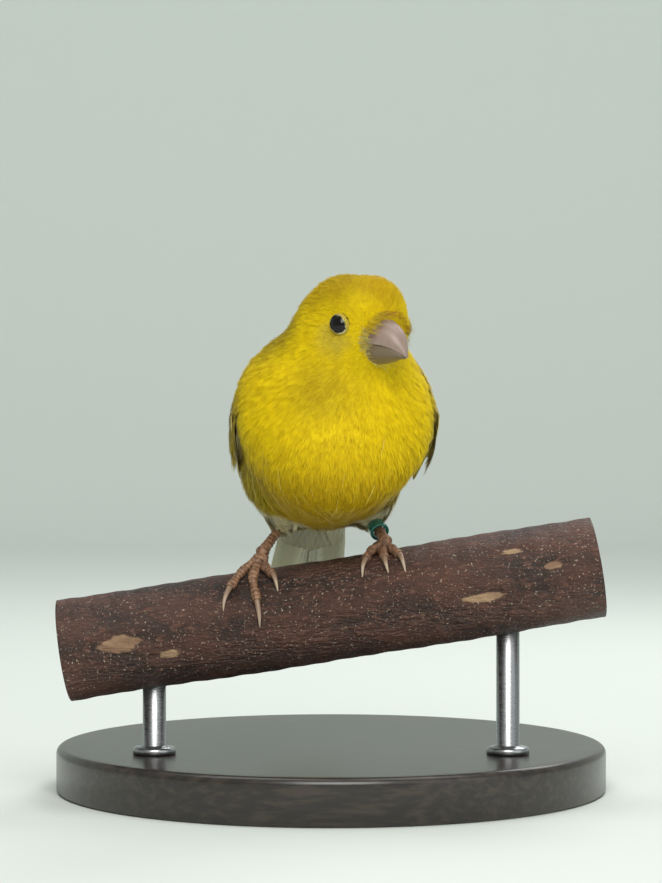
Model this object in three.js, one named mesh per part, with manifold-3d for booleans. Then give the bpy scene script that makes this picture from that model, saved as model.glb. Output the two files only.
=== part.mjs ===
// A canary gripping a cut length of branch, life size, on a plain display stand.
// Millimetres, +Z up. The origin is the middle of the base's underside. The bird
// faces -Y with its head turned a little toward +X, and its own left side is +X.

import * as THREE from "three";
import { mergeVertices } from "three/addons/utils/BufferGeometryUtils.js";
import Module from "manifold-3d";

const wasm = await Module();
wasm.setup();

// Stand and perch
const GAP = 0.3;
const BASE_RADIUS = 61;
const BASE_HEIGHT = 10;
const BASE_CHAMFER = 1.2;
const ROD_RADIUS = 2.5;
const ROD_SPREAD = 38;
const PERCH_HEIGHT = 41;
const PERCH_SETBACK = -21;
const PERCH_RADIUS = 10.9;
const PERCH_LENGTH = 116;
const PERCH_TILT = THREE.MathUtils.degToRad(8.9);
const BARK_RELIEF = 0.3;

// The flesh and its coat of feathers is one smooth union of rounded forms, placed
// about the middle of the perch. Radii run along, across and up each form.
const BLEND = 6;
const FORMS = [
  { at: [-0.6, 3, 37.7], yaw: 5, pitch: 29, radii: [29.6, 18.7, 16.8] },
  { at: [1.2, -8, 42.1], yaw: 8, pitch: 35, radii: [16.2, 20.1, 21.1] },
  { at: [3.4, -10, 54.2], yaw: 20, pitch: 50, radii: [12.8, 11.4, 11.5] },
  { at: [3.7, -15.5, 59.9], yaw: 40, pitch: -10, radii: [10.9, 9.5, 11.2] },
  { at: [8.9, -20.5, 61.5], yaw: 40, pitch: -12, radii: [5.3, 7.2, 8] },
  { at: [-0.7, 24, 28.3], yaw: 5, pitch: 30, radii: [19.3, 9.3, 7.9] },
  { at: [-0.8, -1, 31.2], yaw: 5, pitch: 12, radii: [18, 15.4, 11.6] },
];
const TORSO = FORMS[0];
const HEAD = FORMS[3];
const FOLDED_WINGS = { along: -20, up: 5.5, radii: [36, 11.5, 7] };
const BODY_CENTRE = [1, -4, 44];
const BODY_END = [-2.2, 40.6, 18.6];
const BODY_RINGS = 32;
const BODY_SIDES = 26;

// Where the head, neck and torso part
const NECK_CUTS = [
  { at: [3.5, -11, 53.8], normal: [0.1, -0.35, 0.93] },
  { at: [2.5, -6, 46.5], normal: [0.05, -0.3, 0.95] },
];

// Eyes, measured in the head's own frame: ahead, toward the bird's left, up
const EYE_DIRECTION = [5.3, 8.2, 1.3];
const EYE_RADIUS = 2.9;
const EYE_DEPTH = 2.2;
const LID_RADIUS = 2.35;
const LID_THICKNESS = 0.55;

// Bill: each station is the distance ahead of the head's middle, then the height of the
// culmen, of the mouth line and of the underside, then the half width
const BILL_STATIONS = [
  { ahead: 7.5, culmen: 4.2, mouth: -2.2, under: -6.6, half: 4.6 },
  { ahead: 11, culmen: 3.8, mouth: -2, under: -6.1, half: 4.2 },
  { ahead: 13, culmen: 3.2, mouth: -1.8, under: -5.6, half: 3.8 },
  { ahead: 14.8, culmen: 2.4, mouth: -1.8, under: -5, half: 3.1 },
  { ahead: 16.5, culmen: 1.1, mouth: -2.2, under: -4.4, half: 2.2 },
  { ahead: 18.1, culmen: -1, mouth: -2.9, under: -3.9, half: 1.1 },
  { ahead: 19.3, culmen: -3.1, mouth: -3.5, under: -3.8, half: 0.25 },
];
const LOWER_BILL_END = 18.3;
const NOSTRIL = { at: [12.7, 2.5, 1.5], radii: [0.75, 0.6, 0.35] };

// Wings: angles of the lower and upper edge about the torso's axis, by distance ahead
const WING_EDGES = [
  { along: 12, low: -12, high: 24 },
  { along: 4, low: -26, high: 38 },
  { along: -8, low: -30, high: 58 },
  { along: -20, low: -18, high: 78 },
  { along: -35, low: 0, high: 84 },
  { along: -54, low: 14, high: 84 },
];
const WING_AXIS_UP = 4;
const WING_CORE_START = 12;
const WING_CORE_END = -30;
const VANE_THICKNESS = 0.55;
const LONG_VANE = [[0, 0.5], [0.3, 0.92], [0.65, 1], [0.9, 0.72], [1, 0.2]];
const SHORT_VANE = [[0, 0.7], [0.55, 1], [0.88, 0.72], [1, 0.2]];
const FEATHER_ROWS = [
  {
    count: 8, outline: LONG_VANE, width: [4.6, 4.8], lift: 1.1, base: 0,
    root: [[6, 0.06], [2, 0.3]], tip: [[-53, 0.42], [-38, 0.7]],
  },
  {
    count: 5, outline: LONG_VANE, width: [5.6, 6], lift: 1, base: 0.1,
    root: [[3, 0.34], [-2, 0.62]], tip: [[-36, 0.66], [-31, 0.78]],
  },
  {
    count: 3, outline: LONG_VANE, width: [6.2, 6.2], lift: 1, base: 0.2,
    root: [[0, 0.64], [-4, 0.84]], tip: [[-30, 0.78], [-19, 0.84]],
  },
  {
    count: 7, outline: SHORT_VANE, width: [6.2, 6.6], lift: 0.8, base: 0.7,
    root: [[7, 0.12], [0, 0.86]], tip: [[-10, 0.06], [-14, 0.8]],
  },
  {
    count: 6, outline: SHORT_VANE, width: [5.6, 6], lift: 0.7, base: 1.2,
    root: [[9, 0.16], [4, 0.86]], tip: [[-1, 0.1], [-5, 0.82]],
  },
];

// Tail: pairs of feathers from the middle outward, in the torso's frame
const TAIL_PAIRS = 6;
const TAIL_ROOT = -33;
const TAIL_TIP = -83;
const TAIL_FORK = 3;
const TAIL_HALF_WIDTH = 10.4;
const TAIL_ROOT_WIDTH = 3.8;
const TAIL_UP = 1.4;
const TAIL_STEP = 0.33;
const TAIL_VANE = 3.2;
const COVERTS = [
  { count: 5, up: 3.1, spread: 4, tip: -52, width: 2.6 },
  { count: 5, up: -1.6, spread: 5.4, tip: -58, width: 3.1 },
];

// Legs: the heel and the foot of each, and toes by their path on the perch. A path
// point is the distance along the perch and the angle from its top toward the front.
const SHANK_RADIUS = 0.95;
const TOE_RADIUS = 1.05;
const TOE_ROOT_DROP = 0.6;
const CLAW_RADIUS = 0.6;
const LEGS = {
  right: {
    hip: [-8, 9, 30], heel: [-9.4, 7.5, 19.6], foot: [-14.6, -2.2, 12.6],
    toes: {
      outer: { path: [[-17.6, 24], [-20.4, 46]], claw: [[-21.8, 60], [-22.4, 70]] },
      middle: { path: [[-15.2, 36], [-15, 66]], claw: [[-15, 82], [-15.3, 94]] },
      inner: { path: [[-12.4, 20], [-11, 36]], claw: [[-10.5, 48], [-10.4, 57]] },
      hind: { path: [[-14, -16], [-13.6, -38], [-13.2, -62]], claw: [[-13.1, -80], [-13.2, -94]] },
    },
  },
  left: {
    hip: [8.5, 9, 30], heel: [8, 7.8, 20.6], foot: [11.6, -2.6, 14.9],
    toes: {
      outer: { path: [[14.6, 20], [16.2, 36]], claw: [[16.7, 48], [16.9, 58]] },
      middle: { path: [[12.9, 20], [13, 38]], claw: [[13.1, 49], [13.3, 56]] },
      inner: { path: [[10.6, 20], [9, 35]], claw: [[8.1, 47], [7.7, 56]] },
      hind: { path: [[11.7, -14], [11.9, -38], [12.2, -62]], claw: [[12.3, -80], [12.2, -94]] },
    },
  },
};
const LEG_RING = { side: "left", fromFoot: 4.9, inner: 1.45, outer: 2.1, height: 2.6 };

const paint = (hex, roughness, metalness = 0) =>
  new THREE.MeshStandardMaterial({ color: hex, roughness, metalness });
const MATERIALS = {
  yellow: paint(0xd6bb08, 0.85),
  crown: paint(0xb99b14, 0.85),
  wing: paint(0xb8ab52, 0.8),
  tail: paint(0xb9b69a, 0.8),
  down: paint(0xe2dcb8, 0.9),
  skin: paint(0x8a6242, 0.6),
  claw: paint(0xb99d86, 0.5),
  bill: paint(0xa59187, 0.45),
  eye: paint(0x0a0a0c, 0.08),
  ring: paint(0x0f6b57, 0.3),
  bark: paint(0x3c1c16, 0.6),
  stand: paint(0x2b2a29, 0.5),
  rod: paint(0x9a9a98, 0.35, 0.9),
};

const vector = (list) => new THREE.Vector3(...list);
const mix = THREE.MathUtils.lerp;
const radians = THREE.MathUtils.degToRad;

// A form's own frame: ahead, toward the bird's left, and up
function frameOf({ yaw, pitch }) {
  const y = radians(yaw);
  const p = radians(pitch);
  const ahead = new THREE.Vector3(
    Math.sin(y) * Math.cos(p),
    -Math.cos(y) * Math.cos(p),
    Math.sin(p),
  );
  const left = new THREE.Vector3(Math.cos(y), Math.sin(y), 0);
  return { ahead, left, up: ahead.clone().cross(left) };
}

const withFrame = (form) => ({ ...form, centre: vector(form.at), frame: frameOf(form) });

function placeIn(form, along, across, up) {
  return form.centre
    .clone()
    .addScaledVector(form.frame.ahead, along)
    .addScaledVector(form.frame.left, across)
    .addScaledVector(form.frame.up, up);
}

const torso = withFrame(TORSO);
const head = withFrame(HEAD);
const bodyForms = FORMS.map(withFrame);
const wingForm = {
  ...torso,
  radii: FOLDED_WINGS.radii,
  centre: placeIn(torso, FOLDED_WINGS.along, 0, FOLDED_WINGS.up),
};
const wingForms = [...bodyForms, wingForm];

// Signed distance, nearly, from the smooth union of some forms
function distance(point, forms) {
  let result = null;
  for (const { centre, frame, radii } of forms) {
    const from = point.clone().sub(centre);
    const local = [from.dot(frame.ahead), from.dot(frame.left), from.dot(frame.up)];
    const near = Math.hypot(...local.map((value, i) => value / radii[i]));
    const slope = Math.hypot(...local.map((value, i) => value / radii[i] ** 2));
    const own = (near * (near - 1)) / Math.max(slope, 1e-9);
    if (result === null) {
      result = own;
    } else {
      const share = THREE.MathUtils.clamp(0.5 + (0.5 * (result - own)) / BLEND, 0, 1);
      result = mix(result, own, share) - BLEND * share * (1 - share);
    }
  }
  return result;
}

// Where a ray from inside first comes out to a given height over the forms
function comeOut(from, direction, forms, height) {
  let reach = 0;
  for (let step = 0; step < 80; step += 1) {
    const short = height - distance(from.clone().addScaledVector(direction, reach), forms);
    if (short < 0.002) {
      break;
    }
    reach += short * 0.8;
  }
  return from.clone().addScaledVector(direction, reach);
}

// A closed body through rings of points, with a fan over each end. With thin set, both
// faces of a flat ring are split into triangles alike.
function closedRings(rings, thin = false) {
  const sides = rings[0].length;
  const positions = rings.flat().flatMap((p) => [p.x, p.y, p.z]);
  const index = [];
  for (let j = 0; j + 1 < rings.length; j += 1) {
    for (let k = 0; k < sides; k += 1) {
      const a = j * sides + k;
      const b = j * sides + ((k + 1) % sides);
      const c = a + sides;
      const d = b + sides;
      if (thin && k >= sides / 2) {
        index.push(a, b, c, b, d, c);
      } else {
        index.push(a, b, d, a, d, c);
      }
    }
  }
  const last = (rings.length - 1) * sides;
  for (let k = 1; k + 1 < sides; k += 1) {
    index.push(0, k + 1, k);
    index.push(last, last + k, last + k + 1);
  }
  const geometry = new THREE.BufferGeometry();
  geometry.setAttribute("position", new THREE.Float32BufferAttribute(positions, 3));
  geometry.setIndex(facesOut(positions, index) ? index : index.reverse());
  return geometry;
}

function facesOut(positions, index) {
  const corner = (n) => new THREE.Vector3().fromArray(positions, index[n] * 3);
  let volume = 0;
  for (let n = 0; n < index.length; n += 3) {
    volume += corner(n).dot(corner(n + 1).cross(corner(n + 2)));
  }
  return volume > 0;
}

// A round bar along a curve, with its radius given by the share of its length
function bar(points, radiusAt, sides = 8, steps = 8) {
  const curve = new THREE.CatmullRomCurve3(points, false, "centripetal");
  const { normals, binormals } = curve.computeFrenetFrames(steps, false);
  const rings = [];
  for (let j = 0; j <= steps; j += 1) {
    const middle = curve.getPointAt(j / steps);
    const ring = [];
    for (let k = 0; k < sides; k += 1) {
      const turn = (k / sides) * Math.PI * 2;
      const reach = radiusAt(j / steps);
      ring.push(
        middle
          .clone()
          .addScaledVector(normals[j], Math.cos(turn) * reach)
          .addScaledVector(binormals[j], Math.sin(turn) * reach),
      );
    }
    rings.push(ring);
  }
  return closedRings(rings);
}

function solidOf(geometry) {
  const bare = geometry.clone();
  bare.deleteAttribute("normal");
  bare.deleteAttribute("uv");
  const merged = mergeVertices(bare, 1e-4);
  return new wasm.Manifold(
    new wasm.Mesh({
      numProp: 3,
      vertProperties: new Float32Array(merged.attributes.position.array),
      triVerts: new Uint32Array(merged.index.array),
    }),
  );
}

function geometryOf(solid) {
  const mesh = solid.getMesh();
  const geometry = new THREE.BufferGeometry();
  geometry.setAttribute("position", new THREE.Float32BufferAttribute(mesh.vertProperties, 3));
  geometry.setIndex(new THREE.Uint32BufferAttribute(mesh.triVerts, 1));
  geometry.computeVertexNormals();
  return geometry;
}

function joined(pieces) {
  return pieces.reduce((whole, piece) => whole.add(piece));
}

function largest(solid) {
  return solid.decompose().sort((a, b) => b.volume() - a.volume())[0];
}

// The whole body as one closed skin, seen from a point inside, at a height over the forms
function bodySkin(height) {
  const centre = vector(BODY_CENTRE);
  const toEnd = vector(BODY_END).sub(centre).normalize();
  const turn = new THREE.Quaternion().setFromUnitVectors(new THREE.Vector3(0, -1, 0), toEnd);
  const geometry = new THREE.SphereGeometry(1, BODY_SIDES, BODY_RINGS);
  const places = geometry.attributes.position;
  for (let i = 0; i < places.count; i += 1) {
    const way = new THREE.Vector3().fromBufferAttribute(places, i);
    const polar = Math.acos(THREE.MathUtils.clamp(way.y, -1, 1));
    const tightened = Math.PI * (1 - (1 - polar / Math.PI) ** 1.35);
    const ring = Math.hypot(way.x, way.z) || 1;
    const spread = Math.sin(tightened) / ring;
    way.set(way.x * spread, Math.cos(tightened), way.z * spread).applyQuaternion(turn);
    const out = comeOut(centre, way, bodyForms, height);
    places.setXYZ(i, out.x, out.y, out.z);
  }
  return solidOf(geometry);
}

const body = bodySkin(0);
const aroundBody = bodySkin(GAP);

function slab({ at, normal }) {
  const plate = new THREE.BoxGeometry(90, 90, GAP);
  const way = vector(normal).normalize();
  plate.applyQuaternion(
    new THREE.Quaternion().setFromUnitVectors(new THREE.Vector3(0, 0, 1), way),
  );
  plate.translate(...at);
  return solidOf(plate);
}

function partedBody() {
  const cut = body.subtract(slab(NECK_CUTS[0])).subtract(slab(NECK_CUTS[1]));
  const pieces = cut.decompose().sort((a, b) => b.boundingBox().max[2] - a.boundingBox().max[2]);
  return { head: pieces[0], neck: pieces[1], torso: pieces[2] };
}

// Eyes and lids
function eyePlace(side) {
  const [ahead, across, up] = EYE_DIRECTION;
  const way = placeIn(head, ahead, across * side, up).sub(head.centre).normalize();
  const out = comeOut(head.centre, way, bodyForms, 0);
  const step = 0.05;
  const slope = ["x", "y", "z"].map((axis) => {
    const more = out.clone();
    more[axis] += step;
    return distance(more, bodyForms) - distance(out, bodyForms);
  });
  const normal = vector(slope).normalize();
  return { out, normal, middle: out.clone().addScaledVector(normal, -EYE_DEPTH) };
}

function ballAt(middle, radius, around = 14, rings = 9) {
  const ball = new THREE.SphereGeometry(radius, around, rings);
  ball.translate(middle.x, middle.y, middle.z);
  return ball;
}

function lid({ out, normal }) {
  const rim = new THREE.TorusGeometry(LID_RADIUS, LID_THICKNESS, 6, 20);
  rim.applyQuaternion(
    new THREE.Quaternion().setFromUnitVectors(new THREE.Vector3(0, 0, 1), normal),
  );
  rim.translate(out.x, out.y, out.z);
  return solidOf(rim);
}

function headWithLids(skull) {
  let made = skull;
  for (const side of [-1, 1]) {
    const place = eyePlace(side);
    made = made.add(lid(place));
    made = made.subtract(solidOf(ballAt(place.middle, EYE_RADIUS + GAP)));
  }
  return largest(made);
}

// Bill
function billHalf(isUpper) {
  const rings = [];
  const arcs = 8;
  for (const station of BILL_STATIONS) {
    const ahead = isUpper ? station.ahead : Math.min(station.ahead, LOWER_BILL_END);
    const edge = isUpper ? station.mouth + GAP / 2 : station.mouth - GAP / 2;
    const ridge = isUpper ? Math.max(station.culmen, edge + 0.3) : Math.min(station.under, edge - 0.2);
    const half = isUpper ? station.half : station.half * 0.92;
    const ring = [];
    for (let k = 0; k <= arcs; k += 1) {
      const turn = (k / arcs) * Math.PI;
      const across = Math.cos(turn) * half;
      ring.push(placeIn(head, ahead, across, mix(edge, ridge, Math.sin(turn) ** 0.85)));
    }
    rings.push(ring);
  }
  return solidOf(closedRings(rings));
}

function bill() {
  let upper = billHalf(true).subtract(aroundBody);
  for (const side of [-1, 1]) {
    const hole = new THREE.SphereGeometry(1, 8, 6);
    hole.scale(...NOSTRIL.radii);
    const { ahead, left, up } = head.frame;
    hole.applyMatrix4(new THREE.Matrix4().makeBasis(ahead, left, up));
    const at = placeIn(head, NOSTRIL.at[0], NOSTRIL.at[1] * side, NOSTRIL.at[2]);
    hole.translate(at.x, at.y, at.z);
    upper = upper.subtract(solidOf(hole));
  }
  return { upper: largest(upper), lower: largest(billHalf(false).subtract(aroundBody)) };
}

// Wings. A place on a folded wing is its distance along the torso, its share of the way
// from the lower to the upper edge, and its height over the forms.
function edgeAngles(along) {
  const last = WING_EDGES.length - 1;
  let i = 0;
  while (i < last - 1 && along < WING_EDGES[i + 1].along) {
    i += 1;
  }
  const from = WING_EDGES[i];
  const to = WING_EDGES[i + 1];
  const share = THREE.MathUtils.clamp((from.along - along) / (from.along - to.along), 0, 1);
  return { low: mix(from.low, to.low, share), high: mix(from.high, to.high, share) };
}

function wingPlace(side, along, share, height) {
  const { low, high } = edgeAngles(along);
  const turn = radians(mix(low, high, share));
  const from = placeIn(torso, along, 0, WING_AXIS_UP);
  const way = torso.frame.left
    .clone()
    .multiplyScalar(Math.cos(turn) * side)
    .addScaledVector(torso.frame.up, Math.sin(turn));
  return comeOut(from, way, wingForms, height);
}

// The flesh of the folded wing, from inside the torso out to under the feathers
function wingCore(side) {
  const rings = [];
  const across = 5;
  const steps = 7;
  for (let j = 0; j <= steps; j += 1) {
    const along = mix(WING_CORE_START, WING_CORE_END, j / steps);
    const ring = [];
    const inset = j === 0 ? 0.12 : 0;
    for (let k = 0; k <= across; k += 1) {
      ring.push(wingPlace(side, along, mix(0.03 + inset, 0.97 - inset, k / across), 0.75));
    }
    for (let k = across; k >= 0; k -= 1) {
      ring.push(wingPlace(side, along, mix(0.03 + inset, 0.97 - inset, k / across), -2));
    }
    rings.push(ring);
  }
  return solidOf(closedRings(rings, true));
}

// One flight feather or covert: a thin curved vane from root to rounded tip, its lower
// edge lifted over the vane below it
function wingVane(side, row, i) {
  const order = row.count > 1 ? i / (row.count - 1) : 0;
  const root = row.root[0].map((value, n) => mix(value, row.root[1][n], order));
  const tip = row.tip[0].map((value, n) => mix(value, row.tip[1][n], order));
  const width = mix(row.width[0], row.width[1], order);
  const rings = row.outline.map(([share, wide]) => {
    const along = mix(root[0], tip[0], share);
    const across = mix(root[1], tip[1], share);
    const middle = wingPlace(side, along, across, 0);
    const beside = wingPlace(side, along, across + 0.05, 0);
    const half = ((width * wide) / 2 / middle.distanceTo(beside)) * 0.05;
    const base = row.base + mix(-0.2, 0.35, share);
    const lower = Math.max(across - half, -0.04);
    const upper = Math.min(across + half, 1);
    return [
      wingPlace(side, along, lower, base + row.lift),
      wingPlace(side, along, upper, base + row.lift * 0.3),
      wingPlace(side, along, upper, base + row.lift * 0.3 - VANE_THICKNESS),
      wingPlace(side, along, lower, base + row.lift - VANE_THICKNESS),
    ];
  });
  return solidOf(closedRings(rings, true));
}

function wing(side) {
  const pieces = [wingCore(side)];
  for (const row of FEATHER_ROWS) {
    for (let i = 0; i < row.count; i += 1) {
      pieces.push(wingVane(side, row, i));
    }
  }
  return largest(joined(pieces).subtract(aroundBody));
}

// Tail
function tailVane({ side, along, across, up, width, roof }) {
  const rings = LONG_VANE.map(([share, wide]) => {
    const half = width * wide;
    const s = mix(across[0], across[1], share) * side;
    const u = mix(up[0], up[1], share);
    const place = (offset, lift) =>
      placeIn(torso, mix(along[0], along[1], share), s + offset, u + lift - roof * side * offset);
    return [
      place(-half, VANE_THICKNESS / 2),
      place(half, VANE_THICKNESS / 2),
      place(half, -VANE_THICKNESS / 2),
      place(-half, -VANE_THICKNESS / 2),
    ];
  });
  return solidOf(closedRings(rings, true));
}

function tail() {
  const pieces = [];
  for (let k = 0; k < TAIL_PAIRS; k += 1) {
    const out = (k + 0.5) / TAIL_PAIRS;
    for (const side of [-1, 1]) {
      const up = TAIL_UP + (TAIL_PAIRS / 2 - k) * TAIL_STEP + (side < 0 ? TAIL_STEP / 2 : 0);
      pieces.push(
        tailVane({
          side,
          along: [TAIL_ROOT, TAIL_TIP - TAIL_FORK * out],
          across: [out * TAIL_ROOT_WIDTH, out * (TAIL_HALF_WIDTH - TAIL_VANE)],
          up: [up, up],
          width: TAIL_VANE,
          roof: 0.06,
        }),
      );
    }
  }
  for (const { count, up, spread, tip, width } of COVERTS) {
    for (let i = 0; i < count; i += 1) {
      const across = (i / (count - 1) - 0.5) * 2;
      pieces.push(
        tailVane({
          side: 1,
          along: [TAIL_ROOT + 2, tip + 3 * Math.abs(across)],
          across: [across * 2.4, across * spread],
          up: [up * 0.6, up - 0.25 * Math.sign(up) * Math.abs(across)],
          width,
          roof: 0.12 * across * Math.sign(up),
        }),
      );
    }
  }
  const stump = [];
  for (const [along, wide, deep] of [[-30, 3.4, 3], [-40, 3.8, 2.2], [-47, 3.2, 1.2]]) {
    const ring = [];
    for (let k = 0; k < 10; k += 1) {
      const turn = (k / 10) * Math.PI * 2;
      ring.push(placeIn(torso, along, Math.cos(turn) * wide, TAIL_UP + Math.sin(turn) * deep));
    }
    stump.push(ring);
  }
  pieces.push(solidOf(closedRings(stump)));
  return largest(joined(pieces).subtract(aroundBody));
}

// Perch
function barkRadius(along, turn) {
  const knots = Math.sin(3 * turn + along * 0.06) + 0.8 * Math.sin(along * 0.13 + 2 * turn + 1);
  return PERCH_RADIUS + BARK_RELIEF * 0.5 * knots;
}

function perchSolid(grown) {
  const bark = new THREE.CylinderGeometry(1, 1, PERCH_LENGTH + 2 * grown, 24, 9);
  const places = bark.attributes.position;
  for (let i = 0; i < places.count; i += 1) {
    const reach = Math.hypot(places.getX(i), places.getZ(i));
    const turn = Math.atan2(places.getZ(i), places.getX(i));
    const wide = reach < 0.5 ? 0 : barkRadius(places.getY(i), turn) + grown;
    places.setX(i, Math.cos(turn) * wide);
    places.setZ(i, Math.sin(turn) * wide);
  }
  bark.rotateZ(-Math.PI / 2);
  bark.rotateY(-PERCH_TILT);
  return solidOf(bark);
}

const aroundPerch = perchSolid(GAP);

// A place over the bark: distance along the perch, degrees from its top to the front
function perchPlace(along, degrees, over) {
  const turn = radians(degrees);
  const reach = PERCH_RADIUS + over;
  const high = Math.cos(turn) * reach;
  return new THREE.Vector3(
    along * Math.cos(PERCH_TILT) - high * Math.sin(PERCH_TILT),
    -Math.sin(turn) * reach,
    along * Math.sin(PERCH_TILT) + high * Math.cos(PERCH_TILT),
  );
}

// Legs and feet
function legPieces(name) {
  const leg = LEGS[name];
  const hip = vector(leg.hip);
  const heel = vector(leg.heel);
  const foot = vector(leg.foot);
  const down = foot.clone().sub(heel).normalize();
  const shankEnd = foot.clone().addScaledVector(down, -2.2);
  const shankStart = heel.clone().addScaledVector(down, -0.5);
  const shank = (grown) =>
    solidOf(bar([shankStart, shankEnd], (share) => mix(1.15, SHANK_RADIUS, share) + grown, 8, 3));
  const tuftEnd = heel.clone().addScaledVector(down, 3.5);
  const thighRadii = (share) => mix(6.5, 1.7, share ** 0.8);
  const thigh = solidOf(bar([hip, heel, tuftEnd], thighRadii, 12, 7));
  const around = shank(GAP);
  return {
    thigh: largest(thigh.subtract(aroundBody).subtract(around)),
    shank: largest(shank(0).subtract(aroundBody)),
    foot: footSolid(leg, foot, down),
  };
}

const toeRadius = (share) => TOE_RADIUS * (1 - 0.18 * share) * (1 + 0.1 * Math.sin(share * 15.7));

function toePoints(foot, toe) {
  const root = foot.clone();
  root.z -= TOE_ROOT_DROP;
  return [root, ...toe.path.map(([along, degrees]) => perchPlace(along, degrees, TOE_RADIUS + GAP))];
}

function footSolid(leg, foot, down) {
  const ankle = foot.clone().addScaledVector(down, -2.2 + GAP);
  const pieces = [
    solidOf(bar([ankle, foot], () => SHANK_RADIUS, 8, 2)),
    solidOf(ballAt(foot, 1.5, 8, 6)),
  ];
  for (const toe of Object.values(leg.toes)) {
    pieces.push(solidOf(bar(toePoints(foot, toe), toeRadius, 6, 7)));
  }
  return largest(joined(pieces).subtract(aroundPerch));
}

function clawSolid(foot, toe) {
  const points = toePoints(foot, toe);
  const end = points[points.length - 1];
  const curve = new THREE.CatmullRomCurve3(points, false, "centripetal");
  const start = end.clone().addScaledVector(curve.getTangentAt(1), GAP);
  const [middle, tip] = toe.claw;
  const path = [start, perchPlace(...middle, 1.3), perchPlace(...tip, 0.45)];
  return solidOf(bar(path, (share) => CLAW_RADIUS * (1 - share) + 0.08, 6, 5));
}

function legRing() {
  const { heel, foot } = LEGS[LEG_RING.side];
  const down = vector(foot).sub(vector(heel)).normalize();
  const { inner, outer, height } = LEG_RING;
  const h = height / 2;
  const profile = [
    [inner, -h], [outer - 0.15, -h], [outer, -h + 0.2],
    [outer, h - 0.2], [outer - 0.15, h], [inner, h], [inner, -h],
  ].map(([x, y]) => new THREE.Vector2(x, y));
  const band = new THREE.LatheGeometry(profile, 18);
  band.applyQuaternion(
    new THREE.Quaternion().setFromUnitVectors(new THREE.Vector3(0, 1, 0), down),
  );
  const at = vector(foot).addScaledVector(down, -LEG_RING.fromFoot);
  band.translate(at.x, at.y, at.z);
  return solidOf(band);
}

// Stand
function baseGeometry() {
  const profile = [
    [0, 0], [BASE_RADIUS, 0], [BASE_RADIUS, BASE_HEIGHT - BASE_CHAMFER],
    [BASE_RADIUS - BASE_CHAMFER, BASE_HEIGHT], [0, BASE_HEIGHT],
  ].map(([x, y]) => new THREE.Vector2(x, y));
  const disc = new THREE.LatheGeometry(profile, 44);
  disc.rotateX(Math.PI / 2);
  return disc;
}

function rodSolid(x) {
  const bottom = BASE_HEIGHT + GAP - PERCH_HEIGHT;
  const rod = new THREE.CylinderGeometry(ROD_RADIUS, ROD_RADIUS, -bottom, 20);
  rod.rotateX(Math.PI / 2);
  rod.translate(x, 0, bottom / 2);
  return largest(solidOf(rod).subtract(aroundPerch));
}

const stand = new THREE.Group();
const onPerch = new THREE.Group();
onPerch.position.set(0, PERCH_SETBACK, PERCH_HEIGHT);
stand.add(onPerch);

function add(name, geometry, material, group = onPerch) {
  const mesh = new THREE.Mesh(geometry, MATERIALS[material]);
  mesh.name = name;
  group.add(mesh);
}

const parted = partedBody();
add("head", geometryOf(headWithLids(parted.head)), "crown");
add("neck", geometryOf(parted.neck), "yellow");
add("torso", geometryOf(parted.torso), "yellow");
add("tail", geometryOf(tail()), "tail");

const bills = bill();
add("bill_upper", geometryOf(bills.upper), "bill");
add("bill_lower", geometryOf(bills.lower), "bill");

for (const [name, side] of [["left", 1], ["right", -1]]) {
  const pieces = legPieces(name);
  const { foot, toes } = LEGS[name];
  add(`wing_${name}`, geometryOf(wing(side)), "wing");
  add(`eye_${name}`, ballAt(eyePlace(side).middle, EYE_RADIUS), "eye");
  add(`thigh_${name}`, geometryOf(pieces.thigh), "down");
  add(`shank_${name}`, geometryOf(pieces.shank), "skin");
  add(`foot_${name}`, geometryOf(pieces.foot), "skin");
  for (const [toe, shape] of Object.entries(toes)) {
    add(`claw_${name}_${toe}`, geometryOf(clawSolid(vector(foot), shape)), "claw");
  }
}

add("leg_ring", geometryOf(legRing()), "ring");
add("perch", geometryOf(perchSolid(0)), "bark");
add("stand_rod_left", geometryOf(rodSolid(ROD_SPREAD)), "rod");
add("stand_rod_right", geometryOf(rodSolid(-ROD_SPREAD)), "rod");
add("stand_base", baseGeometry(), "stand", stand);

export default stand;
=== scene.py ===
# %% [markdown]
# # A yellow canary on a cut length of branch
# A life-size museum model: the bird grips a piece of dark bark-covered branch, which two
# short rods hold over a round base. Soft feathers are the hard part. They could be
# hair curves, but those can't be exported, so every feather here is a small mesh laid
# along the bird by Geometry Nodes, over a smooth skin made from a formula.

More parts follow.
